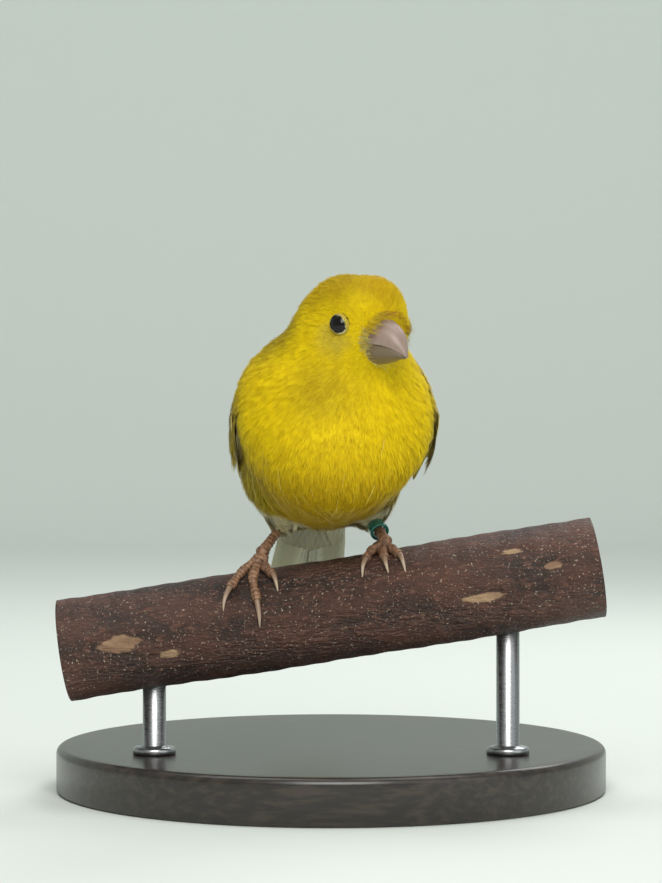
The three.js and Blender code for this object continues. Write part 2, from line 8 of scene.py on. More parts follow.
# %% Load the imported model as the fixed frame
import math
import bmesh
import bpy
import numpy as np
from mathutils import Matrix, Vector


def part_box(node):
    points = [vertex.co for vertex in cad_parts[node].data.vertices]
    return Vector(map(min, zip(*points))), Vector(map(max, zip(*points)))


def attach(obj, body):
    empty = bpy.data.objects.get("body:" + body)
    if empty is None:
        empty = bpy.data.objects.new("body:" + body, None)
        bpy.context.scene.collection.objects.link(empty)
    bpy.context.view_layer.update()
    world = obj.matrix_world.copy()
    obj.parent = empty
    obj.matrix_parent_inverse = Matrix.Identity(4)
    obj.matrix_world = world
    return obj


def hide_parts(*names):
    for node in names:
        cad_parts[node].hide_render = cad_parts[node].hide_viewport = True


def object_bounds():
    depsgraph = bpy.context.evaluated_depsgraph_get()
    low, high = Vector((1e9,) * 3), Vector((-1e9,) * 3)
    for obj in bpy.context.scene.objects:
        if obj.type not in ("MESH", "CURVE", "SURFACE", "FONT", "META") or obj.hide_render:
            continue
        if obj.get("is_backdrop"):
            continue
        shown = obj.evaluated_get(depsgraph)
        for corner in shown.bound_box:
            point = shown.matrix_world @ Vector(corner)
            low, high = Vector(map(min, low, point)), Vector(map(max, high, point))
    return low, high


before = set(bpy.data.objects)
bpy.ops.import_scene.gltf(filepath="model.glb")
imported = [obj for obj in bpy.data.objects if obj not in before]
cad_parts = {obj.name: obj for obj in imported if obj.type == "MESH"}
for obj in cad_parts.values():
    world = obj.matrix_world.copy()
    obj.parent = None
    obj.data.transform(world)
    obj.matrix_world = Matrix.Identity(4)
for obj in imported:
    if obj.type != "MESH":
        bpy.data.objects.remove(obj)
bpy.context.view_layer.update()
MM = 0.001

# %% [markdown]
# ## Where things are
# The middle of the perch is the natural place to measure a perching bird from, so all
# sizes below are millimetres from there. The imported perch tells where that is.

# %% Landmarks from the frame
perch_low, perch_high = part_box("perch")
PERCH_MIDDLE = np.array((perch_low + perch_high) / 2) / MM


def node_middle(node):
    low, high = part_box(node)
    return np.array((low + high) / 2) / MM - PERCH_MIDDLE


PERCH_TILT = math.radians(8.9)
PERCH_RADIUS = 10.9
PERCH_LENGTH = 116
print("perch middle", PERCH_MIDDLE.round(2), "mm above the table's middle")

# %% [markdown]
# ## The camera
# The photograph was taken level with the bird's breast from about half a metre, so the
# camera stands there, square on. The lens is worked out from how much a pixel covers
# at the bird. The picture is upright, so the sensor's width is its long side.

# %% Camera at the photograph's viewing angle
PICTURE_HIGH = 883
MM_PER_PIXEL = 0.215
CAMERA_AWAY = 550
PERCH_PIXEL_DOWN = 609.5
SENSOR = 36
camera_up = (PERCH_PIXEL_DOWN - PICTURE_HIGH / 2) * MM_PER_PIXEL
camera_data = bpy.data.cameras.new("camera")
camera_data.sensor_width = SENSOR
camera_data.lens = SENSOR * CAMERA_AWAY / (PICTURE_HIGH * MM_PER_PIXEL)
camera = bpy.data.objects.new("camera", camera_data)
camera.location = Vector((PERCH_MIDDLE + [0, -CAMERA_AWAY, camera_up]) * MM)
camera.rotation_euler = (math.radians(90), 0, 0)
bpy.context.collection.objects.link(camera)
bpy.context.scene.camera = camera
bpy.context.scene.view_settings.view_transform = "Standard"
print("lens", round(camera_data.lens, 1), "mm")

# %% [markdown]
# ## Making meshes from arrays
# Most pieces are grids of points worked out by a formula, so one helper turns rows of
# points into a closed mesh and puts it in the scene with its place in its mesh.


# %% Mesh helpers
def put_piece(name, points, faces, material, smooth=True):
    mesh = bpy.data.meshes.new(name)
    mesh.from_pydata(((points + PERCH_MIDDLE) * MM).tolist(), [], [list(f) for f in faces])
    mesh.materials.append(material)
    mesh.polygons.foreach_set("use_smooth", [smooth] * len(mesh.polygons))
    mesh.update()
    piece = bpy.data.objects.new(name, mesh)
    bpy.context.collection.objects.link(piece)
    return piece


def grid_faces(rows, columns, start=0, around=True):
    """Four-sided faces between rows of points, joined round when around is set."""
    faces = []
    for j in range(rows - 1):
        for k in range(columns if around else columns - 1):
            a = start + j * columns + k
            b = start + j * columns + (k + 1) % columns
            faces.append((a, b, b + columns, a + columns))
    return faces


def closed_rings(rings, start=0):
    """Faces of a closed body through rings of points, with a flat end at both ends."""
    rows, columns = rings.shape[:2]
    faces = grid_faces(rows, columns, start)
    faces.append(tuple(start + k for k in reversed(range(columns))))
    faces.append(tuple(start + (rows - 1) * columns + k for k in range(columns)))
    return faces


def tube_faces(rows, columns):
    """Faces of a tube bent to a ring, so its last row joins its first."""
    count = rows * columns
    return [tuple(v % count for v in face) for face in grid_faces(rows + 1, columns)]


def full_turn(steps):
    """Even angles once round."""
    return np.arange(steps) / steps * 2 * math.pi


def swept(profile, sides):
    """Rings of points: a profile of (radius, height) swept round an upright axis."""
    turn = full_turn(sides)
    return np.array([
        np.stack((r * np.cos(turn), r * np.sin(turn), np.full(sides, h)), -1) for r, h in profile
    ])


def corner_points(mesh):
    """The number of the point at each corner of each face."""
    corners = np.empty(len(mesh.loops), int)
    mesh.loops.foreach_get("vertex_index", corners)
    return corners


def set_map(mesh, uv):
    mesh.uv_layers.new(name="OFBake").data.foreach_set("uv", uv.ravel())


def store(mesh, name, kind, domain, values, field="value"):
    """Keeps a value on the mesh under a name, for the node trees."""
    attribute = mesh.attributes.new(name, kind, domain)
    attribute.data.foreach_set(field, np.ascontiguousarray(values).ravel())


def triangles(mesh):
    return sum(len(face.vertices) - 2 for face in mesh.polygons)


def face_outward(piece):
    """Turns every face of a closed piece outward."""
    work = bmesh.new()
    work.from_mesh(piece.data)
    bmesh.ops.recalc_face_normals(work, faces=work.faces)
    work.to_mesh(piece.data)
    work.free()
    piece.data.update()
    return piece


def unit(v):
    return v / np.maximum(np.linalg.norm(v, axis=-1, keepdims=True), 1e-9)


def finish_piece(piece, slot, *nodes):
    """Every piece of the still bird rides on its one body."""
    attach(piece, "root")
    if nodes:
        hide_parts(*nodes)
    return piece


# %% [markdown]
# ## The bird's form as a formula
# Under its feathers a perching bird is a few rounded forms that melt into each other:
# trunk, breast, neck, head, face, rump and belly. Sculpting would give the same, but a
# smooth union of stretched balls can be asked for the surface anywhere, at any height, which is
# what laying feathers needs.

# %% Rounded forms and their smooth union
BLEND = 6
# each form: middle, yaw and pitch in degrees, half sizes along, across and up
FORMS = [
    ((-0.6, 3, 37.7), 5, 29, (29.6, 18.7, 16.8)),
    ((1.2, -8, 42.1), 8, 35, (16.2, 20.1, 21.1)),
    ((3.4, -10, 54.2), 20, 50, (12.8, 11.4, 11.5)),
    ((3.7, -15.5, 59.9), 40, -10, (10.9, 9.5, 11.2)),
    ((8.9, -20.5, 61.5), 40, -12, (5.3, 7.2, 8)),
    ((-0.7, 24, 28.3), 5, 30, (19.3, 9.3, 7.9)),
    ((-0.8, -1, 31.2), 5, 12, (18, 15.4, 11.6)),
]
TRUNK, HEAD = FORMS[0], FORMS[3]
# the swelling of the folded wings: how far along and up the trunk, and its half sizes
FOLDED_WINGS = (-20, 5.5, (36, 11.5, 7))
RAY_STEPS, RAY_SHARE = 60, 0.8


def axes_of(yaw, pitch):
    """Ahead, toward the bird's left, and up, for a form turned and raised so."""
    y, p = math.radians(yaw), math.radians(pitch)
    ahead = np.array((math.sin(y) * math.cos(p), -math.cos(y) * math.cos(p), math.sin(p)))
    left = np.array((math.cos(y), math.sin(y), 0))
    return np.array((ahead, left, np.cross(ahead, left)))


def place_in(form, along, across, up):
    local = np.stack(np.broadcast_arrays(along, across, up), -1)
    return np.array(form[0]) + local @ axes_of(form[1], form[2])


def local_to(form, points):
    return (points - np.array(form[0])) @ axes_of(form[1], form[2]).T


wing_middle = place_in(TRUNK, FOLDED_WINGS[0], 0, FOLDED_WINGS[1])
WING_FORMS = FORMS + [(tuple(wing_middle), TRUNK[1], TRUNK[2], FOLDED_WINGS[2])]


def height_over(points, forms=FORMS):
    """How far points are outside the smooth union of the forms."""
    result = None
    for form in forms:
        local = local_to(form, points)
        radii = np.array(form[3], float)
        near = np.linalg.norm(local / radii, axis=-1)
        slope = np.linalg.norm(local / radii**2, axis=-1)
        own = near * (near - 1) / np.maximum(slope, 1e-9)
        if result is None:
            result = own
        else:
            share = np.clip(0.5 + 0.5 * (result - own) / BLEND, 0, 1)
            result = result + (own - result) * share - BLEND * share * (1 - share)
    return result


def come_out(start, way, height, forms=FORMS):
    """Where rays from inside first come out to a height over the forms."""
    reach = np.zeros(np.broadcast_shapes(start.shape, way.shape)[:-1])
    for _ in range(RAY_STEPS):
        missing = height - height_over(start + way * reach[..., None], forms)
        reach += missing * RAY_SHARE
    return start + way * reach[..., None]


def outward(points, forms=FORMS, step=0.05):
    """The direction straight out of the forms."""
    rise = [
        height_over(points + step * side, forms) - height_over(points - step * side, forms)
        for side in np.eye(3)
    ]
    return unit(np.stack(rise, -1))


head_top = come_out(np.array(HEAD[0]), np.array((0, 0, 1.0)), 0)
print("head's top is", round(float(head_top[2]), 1), "mm up")

# %% Where the legs leave the body
THIGHS = {
    "right": ((-8, 9, 30), (-10.8, 4.9, 17.4)),
    "left": ((8.5, 9, 30), (9.0, 4.9, 18.6)),
}
THIGH_RADIUS, THIGH_OVER = 3.5, 1.4


def thigh_form(top, end):
    top, end = np.array(top, float), np.array(end, float)
    way = unit(end - top)
    yaw, pitch = math.degrees(math.atan2(way[0], -way[1])), math.degrees(math.asin(way[2]))
    half = np.linalg.norm(end - top) / 2 + THIGH_OVER
    return tuple((top + end) / 2), yaw, pitch, (half, THIGH_RADIUS, THIGH_RADIUS)


LOOSE_FLANK = ((-11.8, 3, 28.6), 0, 0, (8, 5.4, 6.3))
SKIN_FORMS = FORMS + [LOOSE_FLANK] + [thigh_form(*ends) for ends in THIGHS.values()]

# %% [markdown]
# ## Colours of the plumage
# The coat is not one yellow. The crown is ochre, the cheek behind the eye is pale, the lower
# belly is a duller ochre and the thighs are cream. Painted shade darkens the sides, the flanks,
# the lower belly and the crease under the chin, so the breast is the brightest. The same
# group of nodes colours skin and feathers, so nothing shows through in a wrong colour.
# It mixes zones by distance from places on the bird.

# %% Node helpers


def new_material(name):
    """A material, its node tree and its shader."""
    material = bpy.data.materials.new(name)
    material.use_nodes = True
    tree = material.node_tree
    return material, tree, tree.nodes["Principled BSDF"]


def srgb(red, green, blue):
    """A colour as read off a screen, turned to linear light."""
    out = []
    for value in (red, green, blue):
        v = value / 255
        out.append(v / 12.92 if v <= 0.04045 else ((v + 0.055) / 1.055) ** 2.4)
    return (*out, 1)


def mix_colours(tree, share, under, over):
    """A mix of two colours; each may be a socket or a plain colour."""
    node = tree.nodes.new("ShaderNodeMix")
    node.data_type = "RGBA"
    # sockets 6 and 7 are the two colours of a Mix node
    for index, value in ((0, share), (6, under), (7, over)):
        socket = node.inputs[index]
        if isinstance(value, bpy.types.NodeSocket):
            tree.links.new(value, socket)
        else:
            socket.default_value = value
    return node.outputs[2]


def map_range(tree, value, low, high, to_low=0.0, to_high=1.0):
    node = tree.nodes.new("ShaderNodeMapRange")
    node.interpolation_type = "SMOOTHSTEP"
    tree.links.new(value, node.inputs["Value"])
    node.inputs["From Min"].default_value = low
    node.inputs["From Max"].default_value = high
    node.inputs["To Min"].default_value = to_low
    node.inputs["To Max"].default_value = to_high
    return node.outputs["Result"]


def noise(tree, vector, scale, detail=3.0, roughness=0.5):
    node = tree.nodes.new("ShaderNodeTexNoise")
    tree.links.new(vector, node.inputs["Vector"])
    node.inputs["Scale"].default_value = scale
    node.inputs["Detail"].default_value = detail
    node.inputs["Roughness"].default_value = roughness
    return node.outputs["Fac"]


def math_node(tree, operation, *values):
    node = tree.nodes.new("ShaderNodeMath")
    node.operation = operation
    for socket, value in zip(node.inputs, values):
        if isinstance(value, bpy.types.NodeSocket):
            tree.links.new(value, socket)
        else:
            socket.default_value = value
    return node.outputs[0]


def tinted(tree, under, over, value, low, high, to_low=0.0, to_high=1.0):
    """One colour laid over another as far as a value has come from low to high."""
    share = map_range(tree, value, low, high, to_low, to_high)
    return mix_colours(tree, share, under, over)


def kept_value(tree, name):
    """A value that the mesh keeps under this name."""
    node = tree.nodes.new("ShaderNodeAttribute")
    node.attribute_name = name
    return node.outputs["Fac"]


def object_place(tree):
    return tree.nodes.new("ShaderNodeTexCoord").outputs["Object"]


def grain_place(tree, scale, rotation=(0, 0, 0)):
    """The place in the object, stretched so that noise turns into grain."""
    node = tree.nodes.new("ShaderNodeMapping")
    node.inputs["Rotation"].default_value = rotation
    node.inputs["Scale"].default_value = scale
    tree.links.new(object_place(tree), node.inputs["Vector"])
    return node.outputs["Vector"]


def bump(tree, height, strength, distance):
    node = tree.nodes.new("ShaderNodeBump")
    tree.links.new(height, node.inputs["Height"])
    node.inputs["Strength"].default_value = strength
    node.inputs["Distance"].default_value = distance
    return node.outputs["Normal"]


# %% The plumage group
BREAST_YELLOW = srgb(244, 214, 8)
CROWN_OCHRE = srgb(176, 146, 6)
PALE_CHEEK = srgb(216, 192, 60)
# a duller ochre, partly the belly's own colour and partly painted shade under the body
BELLY_OCHRE_AND_SHADE = srgb(184, 144, 4)
# painted shade: the body darkens to olive toward its edges
SIDE_EDGE_SHADE = srgb(150, 134, 24)
BACK_OLIVE = srgb(186, 164, 28)
THIGH_CREAM = srgb(244, 240, 214)
# painted shade: an olive darkening in the crease where the throat meets the breast
CHIN_CREASE_SHADE = srgb(190, 162, 6)
PATCH_OCHRE = srgb(206, 172, 12)
ZONE_WANDER = 4
# each zone: name, middle, where it is full, where it has faded, colour
ZONES = [
    ("back", (-1, 18, 47), 12, 22, BACK_OLIVE),
    # own duller ochre with painted shade under the body
    ("belly", (1, -8, 10), 14, 38, BELLY_OCHRE_AND_SHADE),
    ("crown", (4, -14, 74), 9, 19, CROWN_OCHRE),
    ("forehead", (9.5, -22.5, 66), 1.5, 6.5, srgb(186, 146, 22)),
    ("cheek", (0.4, -24.4, 57.4), 1.5, 5.5, PALE_CHEEK),
    # painted shade in the crease under the chin, on both sides of the throat
    ("chin right", (-3, -27, 47), 0, 11, CHIN_CREASE_SHADE),
    ("chin middle", (7, -29.5, 47.5), 0, 10, CHIN_CREASE_SHADE),
    # painted shade toward the edges of the body, on both sides and flanks
    ("right side", (-27, -4, 40), 5, 16, SIDE_EDGE_SHADE),
    ("right flank", (-20, -2, 24), 3, 16, SIDE_EDGE_SHADE),
    ("left side", (26, -2, 38), 4, 12, SIDE_EDGE_SHADE),
    ("left flank", (19, 0, 22), 3, 13, SIDE_EDGE_SHADE),
    ("nape", (-10, -8, 60), 4, 15, srgb(160, 140, 16)),
    ("vent", (-2.5, 36, 14), 8, 18, THIGH_CREAM),
    ("right thigh", (-10.8, 5.0, 17.5), 4.4, 7.2, THIGH_CREAM),
    ("left thigh", (8.9, 5.0, 18.5), 4.2, 7.0, THIGH_CREAM),
]


def plumage_group():
    """One group of nodes with the colour of the plumage at any place, and painted shade on the
    sides, the flanks, the lower belly and under the chin.
    """
    group = bpy.data.node_groups.new("plumage colours", "ShaderNodeTree")
    group.interface.new_socket(name="Colour", in_out="OUTPUT", socket_type="NodeSocketColor")
    out = group.nodes.new("NodeGroupOutput")
    place = object_place(group)
    wander = noise(group, place, 260, 2)
    colour = BREAST_YELLOW
    for _, middle, near, far, zone_colour in ZONES:
        distance = group.nodes.new("ShaderNodeVectorMath")
        distance.operation = "DISTANCE"
        group.links.new(place, distance.inputs[0])
        distance.inputs[1].default_value = (PERCH_MIDDLE + middle) * MM
        blurred = math_node(
            group, "MULTIPLY_ADD", wander, ZONE_WANDER * MM, distance.outputs["Value"]
        )
        low, high = (near + ZONE_WANDER / 2) * MM, (far + ZONE_WANDER / 2) * MM
        colour = tinted(group, colour, zone_colour, blurred, low, high, 1, 0)
    patches = noise(group, place, 420, 3)
    colour = tinted(group, colour, PATCH_OCHRE, patches, 0.4, 0.75, 0, 0.35)
    group.links.new(colour, out.inputs["Colour"])
    return group


plumage = plumage_group()
print("plumage zones", [zone[0] for zone in ZONES])

# %% Skin and feather materials


# each tint: the value it follows, its colour, from where to where, and its share there
FEATHER_TINTS = [
    ("along", srgb(150, 112, 6), 0.05, 0.7, 0.4, 0),
    ("along", srgb(250, 226, 60), 0.72, 1, 0, 0.28),
    ("tone", srgb(150, 118, 8), 0.5, 1, 0, 0.3),
    ("tone", srgb(250, 224, 36), 0.4, 0, 0, 0.3),
    ("shade", srgb(176, 138, 8), 0.6, 1, 0, 0.22),
]


def plumage_material(name, on_feathers):
    """Soft matt yellow; on feathers the tips are lighter than the roots."""
    material, tree, shader = new_material(name)
    group = tree.nodes.new("ShaderNodeGroup")
    group.node_tree = plumage
    colour = group.outputs["Colour"]
    if on_feathers:
        for label, over, low, high, to_low, to_high in FEATHER_TINTS:
            value = kept_value(tree, label)
            colour = tinted(tree, colour, over, value, low, high, to_low, to_high)
    tree.links.new(colour, shader.inputs["Base Color"])
    shader.inputs["Roughness"].default_value = 0.62
    shader.inputs["Specular IOR Level"].default_value = 0.12
    shader.inputs["Sheen Weight"].default_value = 0.05
    shader.inputs["Sheen Roughness"].default_value = 0.4
    return material


skin_material = plumage_material("plumage_skin", False)
coat_material = plumage_material("plumage_feathers", True)

# %% [markdown]
# ## One skin under the feathers
# On the real bird the skin runs whole from bill to tail. The solids part it in pieces,
# so one surface takes their place, lying under the feathers by the depth of the coat. It
# is a ball whose points are pushed out from a place inside the bird.

# %% The skin
BODY_CENTRE = np.array((1.0, -4, 44))
BODY_END = np.array((-2.2, 40.6, 18.6))
COAT_DEPTH = 0.75
SKIN_ROWS, SKIN_COLUMNS = 150, 200
# rows crowd toward the rump, where the form is slender
ROW_CROWDING = 1.35
UNWRAP_WIDE = 0.99
BODY_POLE = unit(BODY_END - BODY_CENTRE)
BODY_SIDE = unit(np.cross(BODY_POLE, (0, 0, 1)))
BODY_UP = np.cross(BODY_SIDE, BODY_POLE)


def body_ways(rows, columns):
    """Directions over a ball whose far pole points to the rump's end."""
    share = (np.arange(rows) + 0.5) / rows
    polar = math.pi * (1 - (1 - share) ** ROW_CROWDING)
    p, t = np.meshgrid(polar, full_turn(columns), indexing="ij")
    ring = np.cos(t)[..., None] * BODY_SIDE + np.sin(t)[..., None] * BODY_UP
    return -np.cos(p)[..., None] * BODY_POLE + np.sin(p)[..., None] * ring


ways = body_ways(SKIN_ROWS, SKIN_COLUMNS)
skin_points = come_out(BODY_CENTRE, ways, -COAT_DEPTH, SKIN_FORMS)
skin_faces = closed_rings(skin_points)
skin = face_outward(put_piece("skin", skin_points.reshape(-1, 3), skin_faces, skin_material))


def add_unwrap(piece, columns, rows):
    """The skin's own unwrap: round the bird one way, from bill to rump the other."""
    corners = corner_points(piece.data)
    u, v = corners % columns / columns, corners // columns / rows
    for face in piece.data.polygons:
        own = u[list(face.loop_indices)]
        if own.max() - own.min() > 0.5:
            for loop in face.loop_indices:
                u[loop] += 1 if u[loop] < 0.5 else 0
    set_map(piece.data, np.stack((u * UNWRAP_WIDE, v), -1))


add_unwrap(skin, SKIN_COLUMNS, SKIN_ROWS)
finish_piece(skin, "plumage", "head", "neck", "torso", "thigh_left", "thigh_right")
print("skin has", len(skin.data.polygons), "faces")

# %% [markdown]
# ## The lie of the feathers
# Feathers grow away from the bill, over the head and neck, then down the breast and
# back along the body. So the lie is a flow: near the bill it leads straight away from it,
# further on it follows the trunk. The flow, the length of the feathers and the region
# that each face belongs to are kept on the skin as attributes, for the node tree.

# %% Lie, length and region on the skin
head_ahead, head_left, head_up = axes_of(HEAD[1], HEAD[2])
BILL_ROOT = place_in(HEAD, 10.5, 0, -0.5)
EYES = {"right": node_middle("eye_right"), "left": node_middle("eye_left")}
REGIONS = ["face", "head", "throat", "breast", "belly", "back", "flanks", "rump", "thighs"]
BILL_REACH = 22
THIGH_FADE, THIGH_FULL = 4.2, 1.9
VENT = np.array((-0.5, 15, 7))
LEG_WAY = unit(np.array((-0.1, -0.75, -0.66)))


def near_thigh(points):
    """One at the end of a thigh, falling to nothing a few millimetres away."""
    ends = [end for _, end in THIGHS.values()]
    away = np.minimum(*[np.linalg.norm(points - end, axis=-1) for end in ends])
    return np.clip(THIGH_FULL - away / THIGH_FADE, 0, 1)[:, None]


def along_surface(ways, out):
    """Directions laid flat on a surface whose outward directions are given."""
    return unit(ways - out * np.sum(ways * out, -1, keepdims=True))


def lie_at(points):
    """The lie of the feathers at these points, and straight out of the skin there."""
    from_bill = points - BILL_ROOT
    near = np.exp(-((np.linalg.norm(from_bill, axis=-1, keepdims=True) / BILL_REACH) ** 2))
    back = -axes_of(TRUNK[1], TRUNK[2])[0] + np.array((0, 0, -0.35))
    low = np.clip((44 - points[:, 2:]) / 20, 0, 1)
    trunk_flow = back * (1 - low) + unit(VENT - points) * low
    flow = unit(from_bill) * near + trunk_flow * (1 - near)
    thigh = near_thigh(points)
    flow = unit(flow) * (1 - thigh) + LEG_WAY * thigh
    out = outward(points, SKIN_FORMS)
    return along_surface(flow, out), out


def length_at(points):
    """Feather length: shortest round the bill and eyes, longest on the belly."""
    from_bill = np.linalg.norm(points - BILL_ROOT, axis=-1)
    from_eye = np.minimum(*[np.linalg.norm(points - eye, axis=-1) for eye in EYES.values()])
    by_bill = np.interp(from_bill, [3, 8, 16, 30, 45], [0.9, 1.7, 3.0, 4.4, 5.4])
    by_eye = np.interp(from_eye, [2.6, 5, 9], [1.1, 1.7, 4])
    return np.minimum(by_bill, by_eye) * (1 - 0.35 * near_thigh(points)[:, 0])


def region_at(points):
    """The number in REGIONS; a later rule goes over an earlier one."""
    from_bill = np.linalg.norm(points - BILL_ROOT, axis=-1)
    y, z = points[:, 1], points[:, 2]
    over_back = local_to(TRUNK, points)
    region = np.full(len(points), REGIONS.index("flanks"))
    for label, inside in (
        ("back", over_back[:, 2] > 9),
        ("belly", z < 27),
        ("rump", over_back[:, 0] < -22),
        ("breast", (y < -6) & (z >= 27) & (z < 46)),
        ("throat", (z >= 46) & (y < 2)),
        ("head", z >= 57),
        ("face", from_bill < 11),
        ("thighs", near_thigh(points)[:, 0] > 0.05),
    ):
        region[inside] = REGIONS.index(label)
    return region


flat_points = skin_points.reshape(-1, 3)
lie, straight_out = lie_at(flat_points)
length = length_at(flat_points)
centres = np.array([face.center[:] for face in skin.data.polygons]) / MM - PERCH_MIDDLE
region = region_at(centres)
for index, label in enumerate(REGIONS):
    print(label, "has", int((region == index).sum()), "faces")

# %% [markdown]
# ## One small feather
# A body feather is a soft fan: barbs leave a short shaft and end along a rounded tip.
# Flat leaves would look like scales, so each feather is a fan of narrow blades, cupped
# so that it hugs the body. A few different ones keep the coat from looking stamped.

# %% Feather patterns
BARBS = 9
BLADE_STEPS = 2
BARB_HALF_WIDTH = 0.021
FAN_OPEN = math.radians(62)


def feather_pattern(name, seed, width, fine):
    """A unit-long feather along +Y with its outer side toward +Z."""
    rng = np.random.default_rng(seed)
    points, faces, along, tone = [], [], [], []
    for i in range(BARBS):
        spread = (i / (BARBS - 1) - 0.5) * 2
        angle = spread * FAN_OPEN + rng.normal(0, 0.09)
        reach = 0.62 + 0.38 * math.cos(angle) + rng.normal(0, 0.05)
        tip = np.array((width * math.sin(angle) * 1.1, reach))
        root = np.array((0.03 * spread, 0.25 * (1 - abs(spread))))
        bow = np.array((width * 0.4 * spread, 0))
        start = len(points)
        own_tone = rng.random()
        own_lift = rng.normal(0, 0.025)
        for j in range(BLADE_STEPS + 2):
            t = j / (BLADE_STEPS + 1)
            between = (root + tip) / 2 + bow
            middle = root * (1 - t) ** 2 + 2 * t * (1 - t) * between + tip * t * t
            rise = (0.14 + own_lift) * middle[1]
            lift = rise - 0.17 * middle[1] ** 2 - 0.3 * middle[0] ** 2
            half = fine * (1 - 0.35 * t)
            sides = (-1, 1) if j <= BLADE_STEPS else (0,)
            for side in sides:
                points.append((middle[0] + side * half, middle[1], lift))
                along.append(middle[1])
                tone.append(own_tone)
        for j in range(BLADE_STEPS):
            a = start + 2 * j
            faces.append((a, a + 1, a + 3, a + 2))
        a = start + 2 * BLADE_STEPS
        faces.append((a, a + 1, a + 2))
    mesh = bpy.data.meshes.new(name)
    mesh.from_pydata(points, [], faces)
    store(mesh, "along", "FLOAT", "POINT", np.clip(along, 0, 1))
    store(mesh, "tone", "FLOAT", "POINT", tone)
    mesh.update()
    return bpy.data.objects.new(name, mesh)


PATTERN_WIDTHS = (0.2, 0.26, 0.15, 0.23)
PATTERNS = [
    feather_pattern(f"feather_pattern_{n}", 20 + n, width, BARB_HALF_WIDTH)
    for n, width in enumerate(PATTERN_WIDTHS)
]
print("a feather has", triangles(PATTERNS[0].data), "triangles")

# %% [markdown]
# ## The node tree that lays feathers
# Points are scattered evenly over one region of the skin, each with the lie and length
# kept there. A feather pattern is set on each point, turned to the lie, a little
# unevenly, and made real, because copies are lost in the export. The same tree serves
# every region with its own spacing and size.

# %% Small helpers for Geometry Nodes
def named_value(tree, name, kind):
    """What the ground keeps under this name, at each point."""
    node = tree.nodes.new("GeometryNodeInputNamedAttribute")
    node.data_type = kind
    node.inputs["Name"].default_value = name
    return node.outputs["Attribute"]


def random_value(tree, kind, low, high, seed, offset):
    """A random value for each point; the offset keeps the draws apart."""
    node = tree.nodes.new("FunctionNodeRandomValue")
    node.data_type = kind
    ends = [socket for socket in node.inputs if socket.enabled and socket.name in ("Min", "Max")]
    ends[0].default_value, ends[1].default_value = low, high
    add = tree.nodes.new("FunctionNodeIntegerMath")
    add.operation = "ADD"
    tree.links.new(seed, add.inputs[0])
    add.inputs[1].default_value = offset
    tree.links.new(add.outputs[0], node.inputs["Seed"])
    return [socket for socket in node.outputs if socket.enabled][0]


def align(tree, axis, pivot, rotation, vector):
    """A rotation turned so that one axis points along a vector."""
    node = tree.nodes.new("FunctionNodeAlignRotationToVector")
    node.axis = axis
    node.pivot_axis = pivot
    if rotation:
        tree.links.new(rotation, node.inputs["Rotation"])
    tree.links.new(vector, node.inputs["Vector"])
    return node.outputs[0]


# %% The roots, scattered over one region
def scattered_roots(tree, given):
    """Evenly spread points, each with its own shade and its place on the unwrap."""
    nodes, links = tree.nodes, tree.links
    same = nodes.new("FunctionNodeCompare")
    same.data_type = "INT"
    same.operation = "EQUAL"
    links.new(named_value(tree, "region", "INT"), same.inputs[2])
    links.new(given["Region"], same.inputs[3])
    scatter = nodes.new("GeometryNodeDistributePointsOnFaces")
    scatter.distribute_method = "POISSON"
    links.new(given["Geometry"], scatter.inputs["Mesh"])
    links.new(same.outputs[0], scatter.inputs["Selection"])
    links.new(given["Spacing"], scatter.inputs["Distance Min"])
    scatter.inputs["Density Max"].default_value = MOST_ROOTS
    links.new(given["Seed"], scatter.inputs["Seed"])
    geometry = scatter.outputs["Points"]
    for name, kind, value in (
        ("shade", "FLOAT", random_value(tree, "FLOAT", 0.0, 1.0, given["Seed"], 3)),
        ("root_uv", "FLOAT_VECTOR", named_value(tree, "OFBake", "FLOAT_VECTOR")),
    ):
        keep = nodes.new("GeometryNodeStoreNamedAttribute")
        keep.data_type = kind
        keep.inputs["Name"].default_value = name
        links.new(geometry, keep.inputs["Geometry"])
        links.new(value, keep.inputs["Value"])
        geometry = keep.outputs["Geometry"]
    return geometry


# %% The turn of each feather
def feather_turn(tree, given):
    """Along the lie with the outer side out, then lifted and a little astray."""
    nodes, links = tree.nodes, tree.links
    along_lie = align(tree, "Y", "AUTO", None, named_value(tree, "lie", "FLOAT_VECTOR"))
    facing_out = align(tree, "Z", "Y", along_lie, named_value(tree, "out", "FLOAT_VECTOR"))
    wobble = random_value(tree, "FLOAT_VECTOR", STRAY_LOW, STRAY_HIGH, given["Seed"], 1)
    strayed = nodes.new("ShaderNodeVectorMath")
    strayed.operation = "SCALE"
    links.new(wobble, strayed.inputs[0])
    links.new(given["Stray"], strayed.inputs["Scale"])
    lifted = nodes.new("ShaderNodeCombineXYZ")
    links.new(given["Lift"], lifted.inputs["X"])
    both = nodes.new("ShaderNodeVectorMath")
    links.new(strayed.outputs[0], both.inputs[0])
    links.new(lifted.outputs[0], both.inputs[1])
    turn = nodes.new("FunctionNodeEulerToRotation")
    links.new(both.outputs[0], turn.inputs[0])
    turned = nodes.new("FunctionNodeRotateRotation")
    turned.rotation_space = "LOCAL"
    links.new(facing_out, turned.inputs[0])
    links.new(turn.outputs[0], turned.inputs[1])
    return turned.outputs[0]


# %% The whole tree
MOST_ROOTS = 4e7
STRAY_LOW, STRAY_HIGH = (-0.08, -0.12, -0.16), (0.1, 0.12, 0.16)
TREE_INPUTS = {
    "Region": "Int", "Spacing": "Float", "Size": "Float", "Lift": "Float", "Stray": "Float",
    "Seed": "Int",
}


